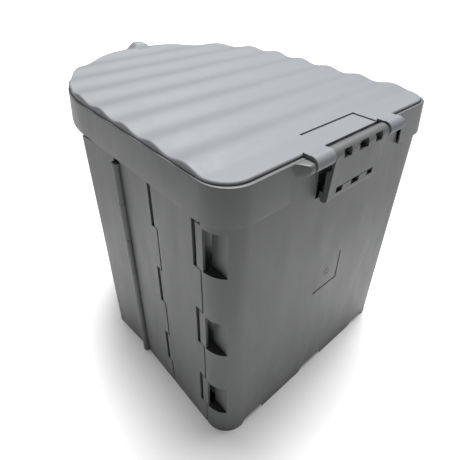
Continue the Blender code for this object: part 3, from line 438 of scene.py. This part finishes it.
def plastic(name, colour, roughness, grain, mottle=0.03, wear=0.06):
    """Moulded plastic: fine grain, slight tone changes, and scuffs that change the gloss."""
    made = bpy.data.materials.new(name)
    made.use_nodes = True
    tree = made.node_tree
    nodes, links = tree.nodes, tree.links
    shader = nodes["Principled BSDF"]
    place_at = nodes.new("ShaderNodeTexCoord").outputs["Object"]

    tone = nodes.new("ShaderNodeTexNoise")
    tone.inputs["Scale"].default_value = 9
    tone.inputs["Detail"].default_value = 4
    links.new(place_at, tone.inputs["Vector"])
    shades = nodes.new("ShaderNodeValToRGB")
    low, high = shades.color_ramp.elements
    low.position, high.position = 0.3, 0.7
    low.color = [c * (1 - mottle) for c in colour] + [1]
    high.color = [c * (1 + mottle) for c in colour] + [1]
    links.new(tone.outputs["Fac"], shades.inputs["Fac"])
    links.new(shades.outputs["Color"], shader.inputs["Base Color"])

    stretch = nodes.new("ShaderNodeMapping")
    stretch.inputs["Scale"].default_value = (1, 1, 0.25)
    links.new(place_at, stretch.inputs["Vector"])
    scuffs = nodes.new("ShaderNodeTexNoise")
    scuffs.inputs["Scale"].default_value = 60
    scuffs.inputs["Detail"].default_value = 6
    scuffs.inputs["Roughness"].default_value = 0.65
    links.new(stretch.outputs["Vector"], scuffs.inputs["Vector"])
    gloss = nodes.new("ShaderNodeMapRange")
    gloss.inputs["From Min"].default_value = 0.3
    gloss.inputs["From Max"].default_value = 0.7
    gloss.inputs["To Min"].default_value = roughness - wear
    gloss.inputs["To Max"].default_value = roughness + wear
    links.new(scuffs.outputs["Fac"], gloss.inputs["Value"])
    links.new(gloss.outputs["Result"], shader.inputs["Roughness"])

    fine = nodes.new("ShaderNodeTexNoise")
    fine.inputs["Scale"].default_value = 1500
    fine.inputs["Detail"].default_value = 2
    links.new(place_at, fine.inputs["Vector"])
    waves = nodes.new("ShaderNodeTexNoise")
    waves.inputs["Scale"].default_value = 22
    waves.inputs["Detail"].default_value = 1
    links.new(place_at, waves.inputs["Vector"])
    sink = nodes.new("ShaderNodeBump")
    sink.inputs["Strength"].default_value = 0.25
    sink.inputs["Distance"].default_value = 0.25 * MM
    links.new(waves.outputs["Fac"], sink.inputs["Height"])
    skin = nodes.new("ShaderNodeBump")
    skin.inputs["Strength"].default_value = grain
    skin.inputs["Distance"].default_value = 0.05 * MM
    links.new(fine.outputs["Fac"], skin.inputs["Height"])
    links.new(sink.outputs["Normal"], skin.inputs["Normal"])
    links.new(skin.outputs["Normal"], shader.inputs["Normal"])
    return made


def rubber(name, colour):
    """Soft black rubber with a dusty, dull skin."""
    made = plastic(name, colour, 0.78, 0.5, mottle=0.2, wear=0.08)
    made.node_tree.nodes["Principled BSDF"].inputs["Sheen Weight"].default_value = 0.15
    return made


def steel(name, colour, roughness):
    """Drawn steel wire and rod: fine lines along the piece and a soft shine."""
    made = plastic(name, colour, roughness, 0.35, mottle=0.06, wear=0.08)
    made.node_tree.nodes["Principled BSDF"].inputs["Metallic"].default_value = 1
    return made


housing_look = plastic("housing_plastic", (0.096, 0.099, 0.1), 0.45, 0.2)
lid_look = plastic("lid_plastic", (0.159, 0.168, 0.179), 0.6, 0.25)
tank_look = plastic("tank_plastic", (0.66, 0.69, 0.70), 0.3, 0.15)
basket_look = plastic("basket_plastic", (0.42, 0.44, 0.46), 0.38, 0.25)
rubber_look = rubber("rubber_black", (0.028, 0.028, 0.03))
steel_look = steel("steel", (0.60, 0.61, 0.63), 0.28)

looks = {
    "housing_grey": housing_look,
    "lid_grey": lid_look,
    "tank_white": tank_look,
    "basket_grey": basket_look,
    "rubber_black": rubber_look,
    "steel": steel_look,
}
for part in frame["record"]["subparts"]:
    node = frame["nodes"][part["node"]]
    node.data.materials.clear()
    node.data.materials.append(looks[part["material_slot"]])


# ---------------------------------------------------------------- hinge wall


def pocket_outline(side):
    """Plan of a corner pocket, which also opens sideways behind the wall strip beside it."""
    wall_in = HALF_WIDTH - WALL_INSET - WALL
    corners = [
        (POCKET_FACE_X, -1 * MM),
        (HALF_WIDTH + 5 * MM, -1 * MM),
        (HALF_WIDTH + 5 * MM, POCKET_SIDE_Y),
        (wall_in - 0.1 * MM, POCKET_SIDE_Y),
        (wall_in - 0.1 * MM, POCKET_SIDE_Y + 1 * MM),
        (POCKET_FACE_X, POCKET_SIDE_Y + 1 * MM),
    ]
    return [(side * x, y) for x, y in corners]


def rear_shell():
    end = REAR_SEAM_Y + REAR_FINGER
    outer = rear_path(WALL_INSET, end)
    inner = rear_path(WALL_INSET + WALL, end)
    shell = upright([outer + inner[::-1]], 0, SHELL_TOP)

    half = HALF_WIDTH - WALL_INSET
    notches = []
    for low, high in between_ranges(finger_ranges(), -1 * MM, SHELL_TOP + 1 * MM):
        near, far = (half - 8 * MM, REAR_SEAM_Y, low), (half + 8 * MM, end + 8 * MM, high)
        notches += both_sides(near, far)
    shell = cut(shell, boxes(*notches))

    blocks = []
    back = POCKET_FACE_X - POCKET_WALL
    for low, _ in finger_ranges():
        high_z = low + POCKET_HEIGHT + POCKET_WALL
        blocks += both_sides((back, 0, low - POCKET_WALL), (half + 5 * MM, POCKET_SIDE_Y, high_z))
    blocks = common(boxes(*blocks), upright([plan(WALL_INSET)], 0, SHELL_TOP))
    shell = join(shell, blocks)
    for low, _ in finger_ranges():
        for side in (-1, 1):
            shell = cut(shell, upright([pocket_outline(side)], low, low + POCKET_HEIGHT))

    for left, right in ARCHES:
        arch = [
            (left, -1 * MM),
            (left + ARCH_SLOPE, ARCH_HEIGHT),
            (right - ARCH_SLOPE, ARCH_HEIGHT),
            (right, -1 * MM),
        ]
        shell = cut(shell, along_y([arch], *WALL_CUT_YS))
    front_y, back_y = WALL_CUT_YS
    notch = (
        (-WALL_NOTCH_HALF, front_y, WALL_NOTCH_BOTTOM),
        (WALL_NOTCH_HALF, back_y, SHELL_TOP + 1 * MM),
    )
    shell = cut(shell, boxes(notch))
    start_top, start_bottom = WALL_SLOT_X
    slot_bottom = BAND_SLOT_Z[0]
    slot_top = WALL_NOTCH_BOTTOM + 1 * MM
    slot = [
        (start_top, slot_top),
        (start_bottom, slot_bottom),
        (BAND_SLOT_X, slot_bottom),
        (BAND_SLOT_X, slot_top),
    ]
    shell = cut(shell, along_y([slot], *WALL_CUT_YS))
    opening = (
        (-LATCH_OPENING_HALF, front_y, LATCH_OPENING_BOTTOM),
        (LATCH_OPENING_HALF, back_y, WALL_NOTCH_BOTTOM + 1 * MM),
    )
    shell = cut(shell, boxes(opening))
    recess = (
        (-PANEL_RECESS_HALF, front_y, PANEL_RECESS_Z - PANEL_RECESS_HALF),
        (PANEL_RECESS_HALF, WALL_INSET + PANEL_RECESS_DEPTH, PANEL_RECESS_Z + PANEL_RECESS_HALF),
    )
    return soften(cut(shell, boxes(recess)), EDGE_SOFTNESS)


place(rear_shell(), "rear_shell_skin", "housing", housing_look, "housing_grey", "rear_shell")

mark = cut(
    bar((0, RING_YS[0], PANEL_RECESS_Z), (0, RING_YS[1], PANEL_RECESS_Z), RING_R),
    bar((0, 3 * MM, PANEL_RECESS_Z), (0, 5 * MM, PANEL_RECESS_Z), RING_HOLE_R),
)
place(soften(mark, 0.1 * MM, 2), "panel_ring", "housing", housing_look, "housing_grey")


# ---------------------------------------------------------------- side walls


def through_side(start, end, bottom, top):
    return (HALF_WIDTH / 2, start, bottom), (HALF_WIDTH * 2, end, top)


def side_slab(start, end, bottom, top):
    outer = HALF_WIDTH - WALL_INSET
    return (outer - WALL, start, bottom), (outer, end, top)


def seam_cutters(start, seam_y, finger, lift):
    """Clears the neighbour's fingers and the open slot at their tips."""
    cutters = []
    for low, high in finger_ranges(lift):
        slot_end = seam_y + finger + SLOT_WIDTH
        cutters.append(through_side(start - 5 * MM, slot_end, low - FINGER_GAP, high + FINGER_GAP))
    return cutters


def rear_side_panel():
    start = REAR_SEAM_Y + SEAM_GAP
    end = MIDDLE_SEAM_Y + MIDDLE_FINGER
    cutters = seam_cutters(start, REAR_SEAM_Y, REAR_FINGER, 0)
    for low, high in between_ranges(finger_ranges(MIDDLE_SEAM_LIFT), -1 * MM, SHELL_TOP + 1 * MM):
        cutters.append(through_side(MIDDLE_SEAM_Y, end + 5 * MM, low, high))
    return soften(cut(boxes(side_slab(start, end, 0, SHELL_TOP)), boxes(*cutters)), EDGE_SOFTNESS)


def knuckle_ranges():
    pitch = BARREL_TOP / KNUCKLES
    return [(pitch * i, pitch * (i + 1) - KNUCKLE_GAP) for i in range(KNUCKLES)]


def with_knuckles(leaf, ranges, toward):
    outer = HALF_WIDTH - WALL_INSET
    reach = BARREL_Y + toward * (BARREL_R + 2 * MM)
    near, far = sorted((BARREL_Y, reach))
    for low, high in ranges:
        leaf = join(leaf, boxes(((outer - WALL, near, low), (outer, far, high))))
        barrel = bar((BARREL_X, BARREL_Y, low), (BARREL_X, BARREL_Y, high), BARREL_R, 40)
        leaf = join(leaf, barrel)
    start = (BARREL_X, BARREL_Y, 1.5 * MM)
    return cut(leaf, bar(start, (BARREL_X, BARREL_Y, BARREL_TOP + 1 * MM), FLAP_BORE_R, 24))


def middle_side_panel():
    start = MIDDLE_SEAM_Y + SEAM_GAP
    end = BARREL_Y - BARREL_R - BARREL_CLEARANCE
    panel = boxes(side_slab(start, end, 0, SHELL_TOP))
    cutters = seam_cutters(start, MIDDLE_SEAM_Y, MIDDLE_FINGER, MIDDLE_SEAM_LIFT)
    panel = cut(panel, boxes(*cutters))
    return soften(with_knuckles(panel, knuckle_ranges()[0::2], -1), EDGE_SOFTNESS)


def side_flap():
    start = BARREL_Y + BARREL_R + BARREL_CLEARANCE
    leaf = boxes(side_slab(start, BARREL_Y + FLAP_LENGTH, FLAP_BOTTOM, FLAP_TOP))
    leaf = with_knuckles(leaf, knuckle_ranges()[1::2], 1)
    axis = Vector((BARREL_X, BARREL_Y, 0))
    turn = Matrix.Translation(axis) @ Matrix.Rotation(-FLAP_AJAR, 4, "Z")
    leaf.data.transform(turn @ Matrix.Translation(-axis))
    return soften(leaf, EDGE_SOFTNESS)


def on_both_sides(maker, node, body):
    """Places a side piece on the right and its mirror image on the left."""
    for side in ("right", "left"):
        shape = maker()
        if side == "left":
            other = mirrored(shape)
            bpy.data.objects.remove(shape)
            shape = soften(other, EDGE_SOFTNESS)
        name = side + "_" + node
        rides_on = body.format(side=side)
        place(shape, name + "_skin", rides_on, housing_look, "housing_grey", name)


on_both_sides(rear_side_panel, "rear_side_panel", "housing")
on_both_sides(middle_side_panel, "middle_side_panel", "housing")
on_both_sides(side_flap, "side_flap", "{side}_flap")


# ---------------------------------------------------------------- rounded wall and rim band


def front_shell():
    outer = front_path(FRONT_INSET, FRONT_SHELL_START_Y)
    inner = front_path(FRONT_INSET + WALL, FRONT_SHELL_START_Y)
    return soften(upright([outer + inner[::-1]], 0, SHELL_TOP), 0.5 * MM)


place(front_shell(), "front_shell_skin", "housing", housing_look, "housing_grey", "front_shell")


def eased(value, start, end):
    """0 before start, 1 after end, and a smooth rise between them."""
    part = min(max((value - start) / (end - start), 0), 1)
    return part * part * (3 - 2 * part)


def rim_section():
    """Section of the rim band as (inset, rear inset, height), round at the lip, soft below."""
    foot = (BAND_FOOT_R, BAND_BOTTOM + BAND_FOOT_R)
    section = [(x, x, z) for x, z in arc(foot, BAND_FOOT_R, 270, 180, 4)]
    outer = BAND_DRAFT + LIP_R
    section += [(x, x, z) for x, z in arc((outer, RIM_TOP - LIP_R), LIP_R, 180, 90, 8)]
    for x, z in arc((-LIP_INNER_R, RIM_TOP - LIP_INNER_R), LIP_INNER_R, 90, 0, 4):
        section.append((LIP_INNER + x, LIP_INNER_REAR + x, z))
    section += [(LIP_INNER, LIP_INNER_REAR, LEDGE_TOP)]
    for x, z in (
        (LEDGE_INSET, LEDGE_TOP),
        (LEDGE_INSET, LEDGE_BOTTOM),
        (BAND_WALL, LEDGE_BOTTOM),
        (BAND_WALL, BAND_BOTTOM),
    ):
        section.append((x, x, z))
    return section


def hinge_ear(side):
    """Half-round ear, level with the lip on top, that curves back into the band."""
    rings = []
    for i in range(EAR_STEPS + 1):
        x = EAR_IN + (EAR_END_X - EAR_IN) * i / EAR_STEPS
        share = 1 - eased(x, EAR_OUT, EAR_END_X + 1 * MM)
        ring = []
        for y, z in arc((HINGE_Y, HINGE_Z), HINGE_R, 0, 360, 72)[:-1]:
            low = EAR_TOP - EAR_SOFTNESS * math.log1p(math.exp((EAR_TOP - z) / EAR_SOFTNESS))
            ring.append((side * x, EAR_ROOT_Y + (y - EAR_ROOT_Y) * share, low))
        rings.append(ring)
    return loft(rings)


def rim_collar():
    rings = [[(x, y, z) for x, y in plan(inset, rear)] for inset, rear, z in rim_section()]
    collar = loft(rings, closed=True)
    low = BAND_BOTTOM - 1 * MM
    below = WALL_NOTCH_BOTTOM + 0.5 * MM
    under_ears = ((BAND_ENDS[0], -1 * MM, low), (BAND_ENDS[1], BAND_WALL + 0.2 * MM, below))
    collar = cut(collar, boxes(under_ears))
    bottom, top = BAND_SLOT_Z
    low_y, high_y = BAND_SLOT_YS
    back_y = BAND_WALL + 0.2 * MM
    slot = [(low_y, bottom), (back_y, bottom), (back_y, top), (high_y, top)]
    collar = cut(collar, along_x([slot], BAND_ENDS[1] - 1 * MM, BAND_SLOT_X))
    half = EAR_IN - 0.2 * MM
    clear_y = HINGE_Y + HINGE_R + 0.5 * MM
    collar = cut(collar, boxes(((-half, -1 * MM, low), (half, clear_y, RIM_TOP + 1 * MM))))
    for side in (-1, 1):
        collar = join(collar, hinge_ear(side))
    bore = bar((-BORE_HALF, HINGE_Y, HINGE_Z), (BORE_HALF, HINGE_Y, HINGE_Z), HINGE_BORE_R, 32)
    return soften(cut(collar, bore), 0.6 * MM, limit=38)


place(rim_collar(), "rim_collar_skin", "housing", housing_look, "housing_grey", "rim_collar")


# ---------------------------------------------------------------- lid


def wave_top(y):
    """Height of the lid's upper face: flat by the hinge, then waves that climb a little."""
    if y <= FIRST_TROUGH:
        return LID_LOW
    wave = WAVE_RISE * (1 - math.cos(math.tau * (y - FIRST_TROUGH) / WAVE_PITCH)) / 2
    return LID_LOW + wave + LID_CROWN * eased(y, *LID_CROWN_YS)


def lid_half_plan(inset):
    """Right half of the lid's outline from the hinge side's corner to the front, fine enough
    for the waves."""
    half = HALF_WIDTH - LID_INSET - inset
    rear = LID_REAR + inset
    radius = max(REAR_CORNER - LID_INSET - inset, 0.2 * MM)
    points = arc((half - radius, rear + radius), radius, 270, 360, CORNER_STEPS)
    straight = ROUND_Y - rear - radius
    steps = range(1, LID_SIDE_STEPS)
    points += [(half, rear + radius + straight * i / LID_SIDE_STEPS) for i in steps]
    return points + arc((0, ROUND_Y), half, 0, 89.6, ROUND_STEPS)


def lid_ring(inset, height):
    """The lid's outline at an inset; height is a function of y."""
    right = lid_half_plan(inset)
    points = right + [(-x, y) for x, y in right[::-1]]
    return [(x, y, height(y)) for x, y in points]


def skirt_bottom(y):
    share = min(max((y - LID_SKIRT_START_Y) / (4 * MM), 0), 1)
    top = LID_LOW - LID_EDGE_FOOT
    return top + (LID_SKIRT_BOTTOM - top) * share


def lid_body():
    """Closed waved sheet with a rounded edge and a skirt, skinned ring by ring."""
    rings = [
        lid_ring(LID_SKIRT_WALL, lambda y: wave_top(y) - LID_SHEET),
        lid_ring(LID_SKIRT_WALL, skirt_bottom),
        lid_ring(0, skirt_bottom),
    ]
    width, height = LID_EDGE
    for x, z in arc((1, -1), 1, 180, 90, 10):
        rings.append(lid_ring(x * width, lambda y, z=z: wave_top(y) + z * height))
    work = bmesh.new()
    loops = [[work.verts.new(point) for point in ring] for ring in rings]
    for near, far in zip(loops, loops[1:]):
        for i in range(len(near)):
            j = (i + 1) % len(near)
            work.faces.new((near[i], near[j], far[j], far[i]))
    for loop in (loops[0], loops[-1]):
        count = len(loop)
        for i in range(count // 2 - 1):
            work.faces.new((loop[i], loop[i + 1], loop[count - 2 - i], loop[count - 1 - i]))
    bmesh.ops.remove_doubles(work, verts=work.verts, dist=0.002 * MM)
    bmesh.ops.recalc_face_normals(work, faces=work.faces)
    return from_bmesh(work)


def lid():
    sheet = lid_body()
    pad = ((-PAD_HALF, 0, PAD_TOP), (PAD_HALF, PAD_BACK_Y, LID_LOW + 10 * MM))
    sheet = cut(sheet, boxes(pad))
    for side in (-1, 1):
        low_x, high_x = sorted((side * KNUCKLE_IN, side * KNUCKLE_OUT))
        under = LID_LOW - LID_SHEET + 0.2 * MM
        arm = [
            (KNUCKLE_Y, under),
            (ARM_FOOT_Y, under),
            (ARM_FOOT_Y, under + 1 * MM),
            (ARM_BACK_Y, under + 1 * MM),
            (ARM_BACK_Y, ARM_TOP),
            (KNUCKLE_Y, ARM_TOP),
        ]
        sheet = join(sheet, along_x([arm], low_x + 0.02 * MM, high_x - 0.02 * MM))
        ends = (low_x, KNUCKLE_Y, KNUCKLE_Z), (high_x, KNUCKLE_Y, KNUCKLE_Z)
        sheet = join(sheet, bar(*ends, KNUCKLE_R))
    reach = KNUCKLE_OUT + 1 * MM
    sheet = cut(sheet, bar((-reach, HINGE_Y, HINGE_Z), (reach, HINGE_Y, HINGE_Z), HINGE_BORE_R, 32))
    return soften(join(sheet, lift_tab()), 0.4 * MM, limit=40)


def lift_tab():
    """Arched hump that grows out of the lid's edge, hollow underneath for the fingers."""
    lid_end = ROUND_Y + HALF_WIDTH - LID_INSET
    nose = 2 * MM
    reach = TAB_END_Y - nose - TAB_START_Y
    places = [(TAB_START_Y + reach * i / TAB_STEPS, 0) for i in range(TAB_STEPS)]
    places += [(TAB_END_Y - nose + x, nose - z) for x, z in arc((0, 0), nose, 90, 0, 6)]
    rings = []
    for y, drop in places:
        base = wave_top(min(y, lid_end)) - LID_SHEET / 2
        rise = (TAB_RISE + LID_SHEET / 2) * eased(y, TAB_START_Y, lid_end - 2 * MM)
        ring = [(TAB_X + TAB_HALF, y, TAB_BOTTOM), (TAB_X - TAB_HALF, y, TAB_BOTTOM)]
        for k in range(TAB_STEPS + 1):
            x = -TAB_HALF + 2 * TAB_HALF * k / TAB_STEPS
            height = base + rise * (1 - eased(abs(x), TAB_FLAT, TAB_HALF)) - drop
            ring.append((TAB_X + x, y, height))
        rings.append(ring)
    tab = loft(rings)
    half, height = TAB_HOLLOW
    foot = TAB_BOTTOM - 1.6 * MM
    arch = [(TAB_X + half, foot)]
    arch += [(TAB_X + x * half, foot + 2 * MM + height * z) for x, z in arc((0, 0), 1, 0, 180, 24)]
    arch += [(TAB_X - half, foot)]
    return cut(tab, along_y([arch], lid_end + 0.5 * MM, TAB_END_Y + 1 * MM))


place(lid(), "lid_skin", "lid", lid_look, "lid_grey", "lid")


# ---------------------------------------------------------------- clip


def hinge_clip():
    reach = CLIP_HALF + 1 * MM
    clip = bar((-CLIP_HALF, HINGE_Y, HINGE_Z), (CLIP_HALF, HINGE_Y, HINGE_Z), CLIP_R)
    clip = cut(clip, bar((-reach, HINGE_Y, HINGE_Z), (reach, HINGE_Y, HINGE_Z), HINGE_BORE_R, 32))
    front = HINGE_Y - CLIP_R + 0.1 * MM
    plate = [
        (front, HINGE_Z),
        (CLIP_FOOT_Y, CLIP_FOOT_Z),
        (CLIP_FOOT_Y + CLIP_SHEET, CLIP_FOOT_Z),
        (front + CLIP_SHEET, HINGE_Z),
    ]
    clip = join(clip, along_x([plate], -CLIP_HALF + 0.02 * MM, CLIP_HALF - 0.02 * MM))
    foot_r = 4.4 * MM
    foot_end = WALL_INSET - 0.5 * MM
    foot = [(foot_end, CLIP_FOOT_Z + 5.5 * MM), (CLIP_FOOT_Y + 0.05 * MM, CLIP_FOOT_Z + 5.5 * MM)]
    foot += arc((CLIP_FOOT_Y + foot_r, CLIP_FOOT_Z + 0.5 * MM), foot_r, 180, 300, 16)
    foot += [(foot_end, CLIP_FOOT_Z + 1 * MM)]
    clip = join(clip, along_x([foot], -CLIP_HALF + 0.01 * MM, CLIP_HALF - 0.01 * MM))
    tongue = (
        (-CLIP_TONGUE_HALF, 0, CLIP_FOOT_Z + 2 * MM),
        (CLIP_TONGUE_HALF, WALL_INSET + 4 * MM, CLIP_FOOT_Z + 4.5 * MM),
    )
    clip = join(clip, boxes(tongue))
    flange_foot = CLIP_FOOT_Z + 3 * MM
    flange = [
        (CLIP_FOOT_Y, CLIP_FLANGE_TOP),
        (CLIP_FOOT_Y + 1 * MM, flange_foot),
        (CLIP_FLANGE_BACK_Y, flange_foot),
        (CLIP_FLANGE_BACK_Y, CLIP_FLANGE_TOP - 2 * MM),
    ]
    edge = CLIP_HALF - 0.03 * MM
    clip = join(clip, along_x([flange], -edge, -edge + CLIP_SIDE))
    clip = join(clip, along_x([flange], edge - CLIP_SIDE, edge))
    low, high = CLIP_WINDOW_Z
    back = CLIP_WINDOW_BACK_Y
    holes = [((left, CLIP_FRONT_Y, low), (right, back, high)) for left, right in CLIP_WINDOWS]
    low, high = CLIP_SLOT_Z
    holes += [((left, CLIP_FRONT_Y, low), (right, CLIP_BACK_Y, high)) for left, right in CLIP_SLOTS]
    clip = cut(clip, boxes(*holes))
    reach, back, low, high = CLIP_GROOVE
    clip = cut(clip, boxes(((-reach, CLIP_FRONT_Y, low), (reach, back, high))))
    return soften(clip, 0.35 * MM, limit=38)


place(hinge_clip(), "hinge_clip_skin", "clip", housing_look, "housing_grey", "hinge_clip")


# ---------------------------------------------------------------- floor, light, camera


def floor_with_painted_light():
    """Matt pale paper with painted light: its tone is brightest under the object, darker in a ring
    around it and pale again far off, standing in for how the light falls, and it glows faintly to
    lift the contact shadow.
    """
    made = bpy.data.materials.new("floor_with_painted_light")
    made.use_nodes = True
    nodes, links = made.node_tree.nodes, made.node_tree.links
    shader = nodes["Principled BSDF"]
    shader.inputs["Roughness"].default_value = 1
    shader.inputs["Specular IOR Level"].default_value = 0
    middle = nodes.new("ShaderNodeVectorMath")
    middle.operation = "LENGTH"
    links.new(nodes.new("ShaderNodeTexCoord").outputs["Object"], middle.inputs[0])
    painted_light_reach = nodes.new("ShaderNodeMapRange")
    painted_light_reach.inputs["From Min"].default_value = 0
    painted_light_reach.inputs["From Max"].default_value = 5
    links.new(middle.outputs["Value"], painted_light_reach.inputs["Value"])
    # painted light: the tone by distance from the middle is bright near the base, darker in a ring
    # and bright again far off
    shades = nodes.new("ShaderNodeValToRGB")
    first, last = shades.color_ramp.elements
    first.position, last.position = 0.04, 0.6
    for stop, grey in ((first, 0.85), (last, 0.95)):
        stop.color = (grey, grey, grey, 1)
    for position, grey in ((0.1, 0.46), (0.25, 0.5)):
        shades.color_ramp.elements.new(position).color = (grey, grey, grey, 1)
    links.new(painted_light_reach.outputs["Result"], shades.inputs["Fac"])
    links.new(shades.outputs["Color"], shader.inputs["Base Color"])
    # painted light: a faint glow from the floor lightens the shadow around the base
    shader.inputs["Emission Color"].default_value = (1, 1, 1, 1)
    shader.inputs["Emission Strength"].default_value = 0.16
    return made


work = bmesh.new()
bmesh.ops.create_grid(work, x_segments=1, y_segments=1, size=6)
floor = from_bmesh(work, "floor")
floor.data.materials.append(floor_with_painted_light())

world = bpy.data.worlds.new("studio")
world.use_nodes = True
background = world.node_tree.nodes["Background"]
background.inputs["Color"].default_value = (1, 1, 1, 1)
background.inputs["Strength"].default_value = 0.08
bpy.context.scene.world = world


def softbox(name, location, aim, size, power):
    lamp = bpy.data.lights.new(name, "AREA")
    lamp.shape = "RECTANGLE"
    lamp.size, lamp.size_y = size
    lamp.energy = power
    made = bpy.data.objects.new(name, lamp)
    bpy.context.scene.collection.objects.link(made)
    made.location = location
    made.rotation_euler = (Vector(aim) - Vector(location)).to_track_quat("-Z", "Y").to_euler()


softbox("top_softbox", (1.2, 0.8, 5.2), (0, 0, 0), (3, 3), 720)
bpy.context.scene.view_settings.view_transform = "Standard"

CAMERA_AZIMUTH = math.radians(42.36)
CAMERA_ELEVATION = math.radians(33.08)
CAMERA_ROLL = math.radians(1.06)
CAMERA_PLACE = (-284.06 * MM, -158.03 * MM, 464.24 * MM)

lens = bpy.data.cameras.new("camera")
lens.sensor_width = 36
lens.lens = 30.64
lens.shift_x = -0.0107
lens.shift_y = -0.0804
camera = bpy.data.objects.new("camera", lens)
bpy.context.scene.collection.objects.link(camera)
camera.location = Vector(CAMERA_PLACE) + Vector((0, SHIFT, 0))
ahead = Vector(
    (
        math.sin(CAMERA_AZIMUTH) * math.cos(CAMERA_ELEVATION),
        math.cos(CAMERA_AZIMUTH) * math.cos(CAMERA_ELEVATION),
        -math.sin(CAMERA_ELEVATION),
    )
)
across = Vector((math.cos(CAMERA_AZIMUTH), -math.sin(CAMERA_AZIMUTH), 0))
upward = across.cross(ahead)
right = across * math.cos(CAMERA_ROLL) + upward * math.sin(CAMERA_ROLL)
top = upward * math.cos(CAMERA_ROLL) - across * math.sin(CAMERA_ROLL)
camera.rotation_mode = "QUATERNION"
camera.rotation_quaternion = Matrix((right, top, -ahead)).transposed().to_quaternion()
lens.clip_start = 0.01
bpy.context.scene.camera = camera
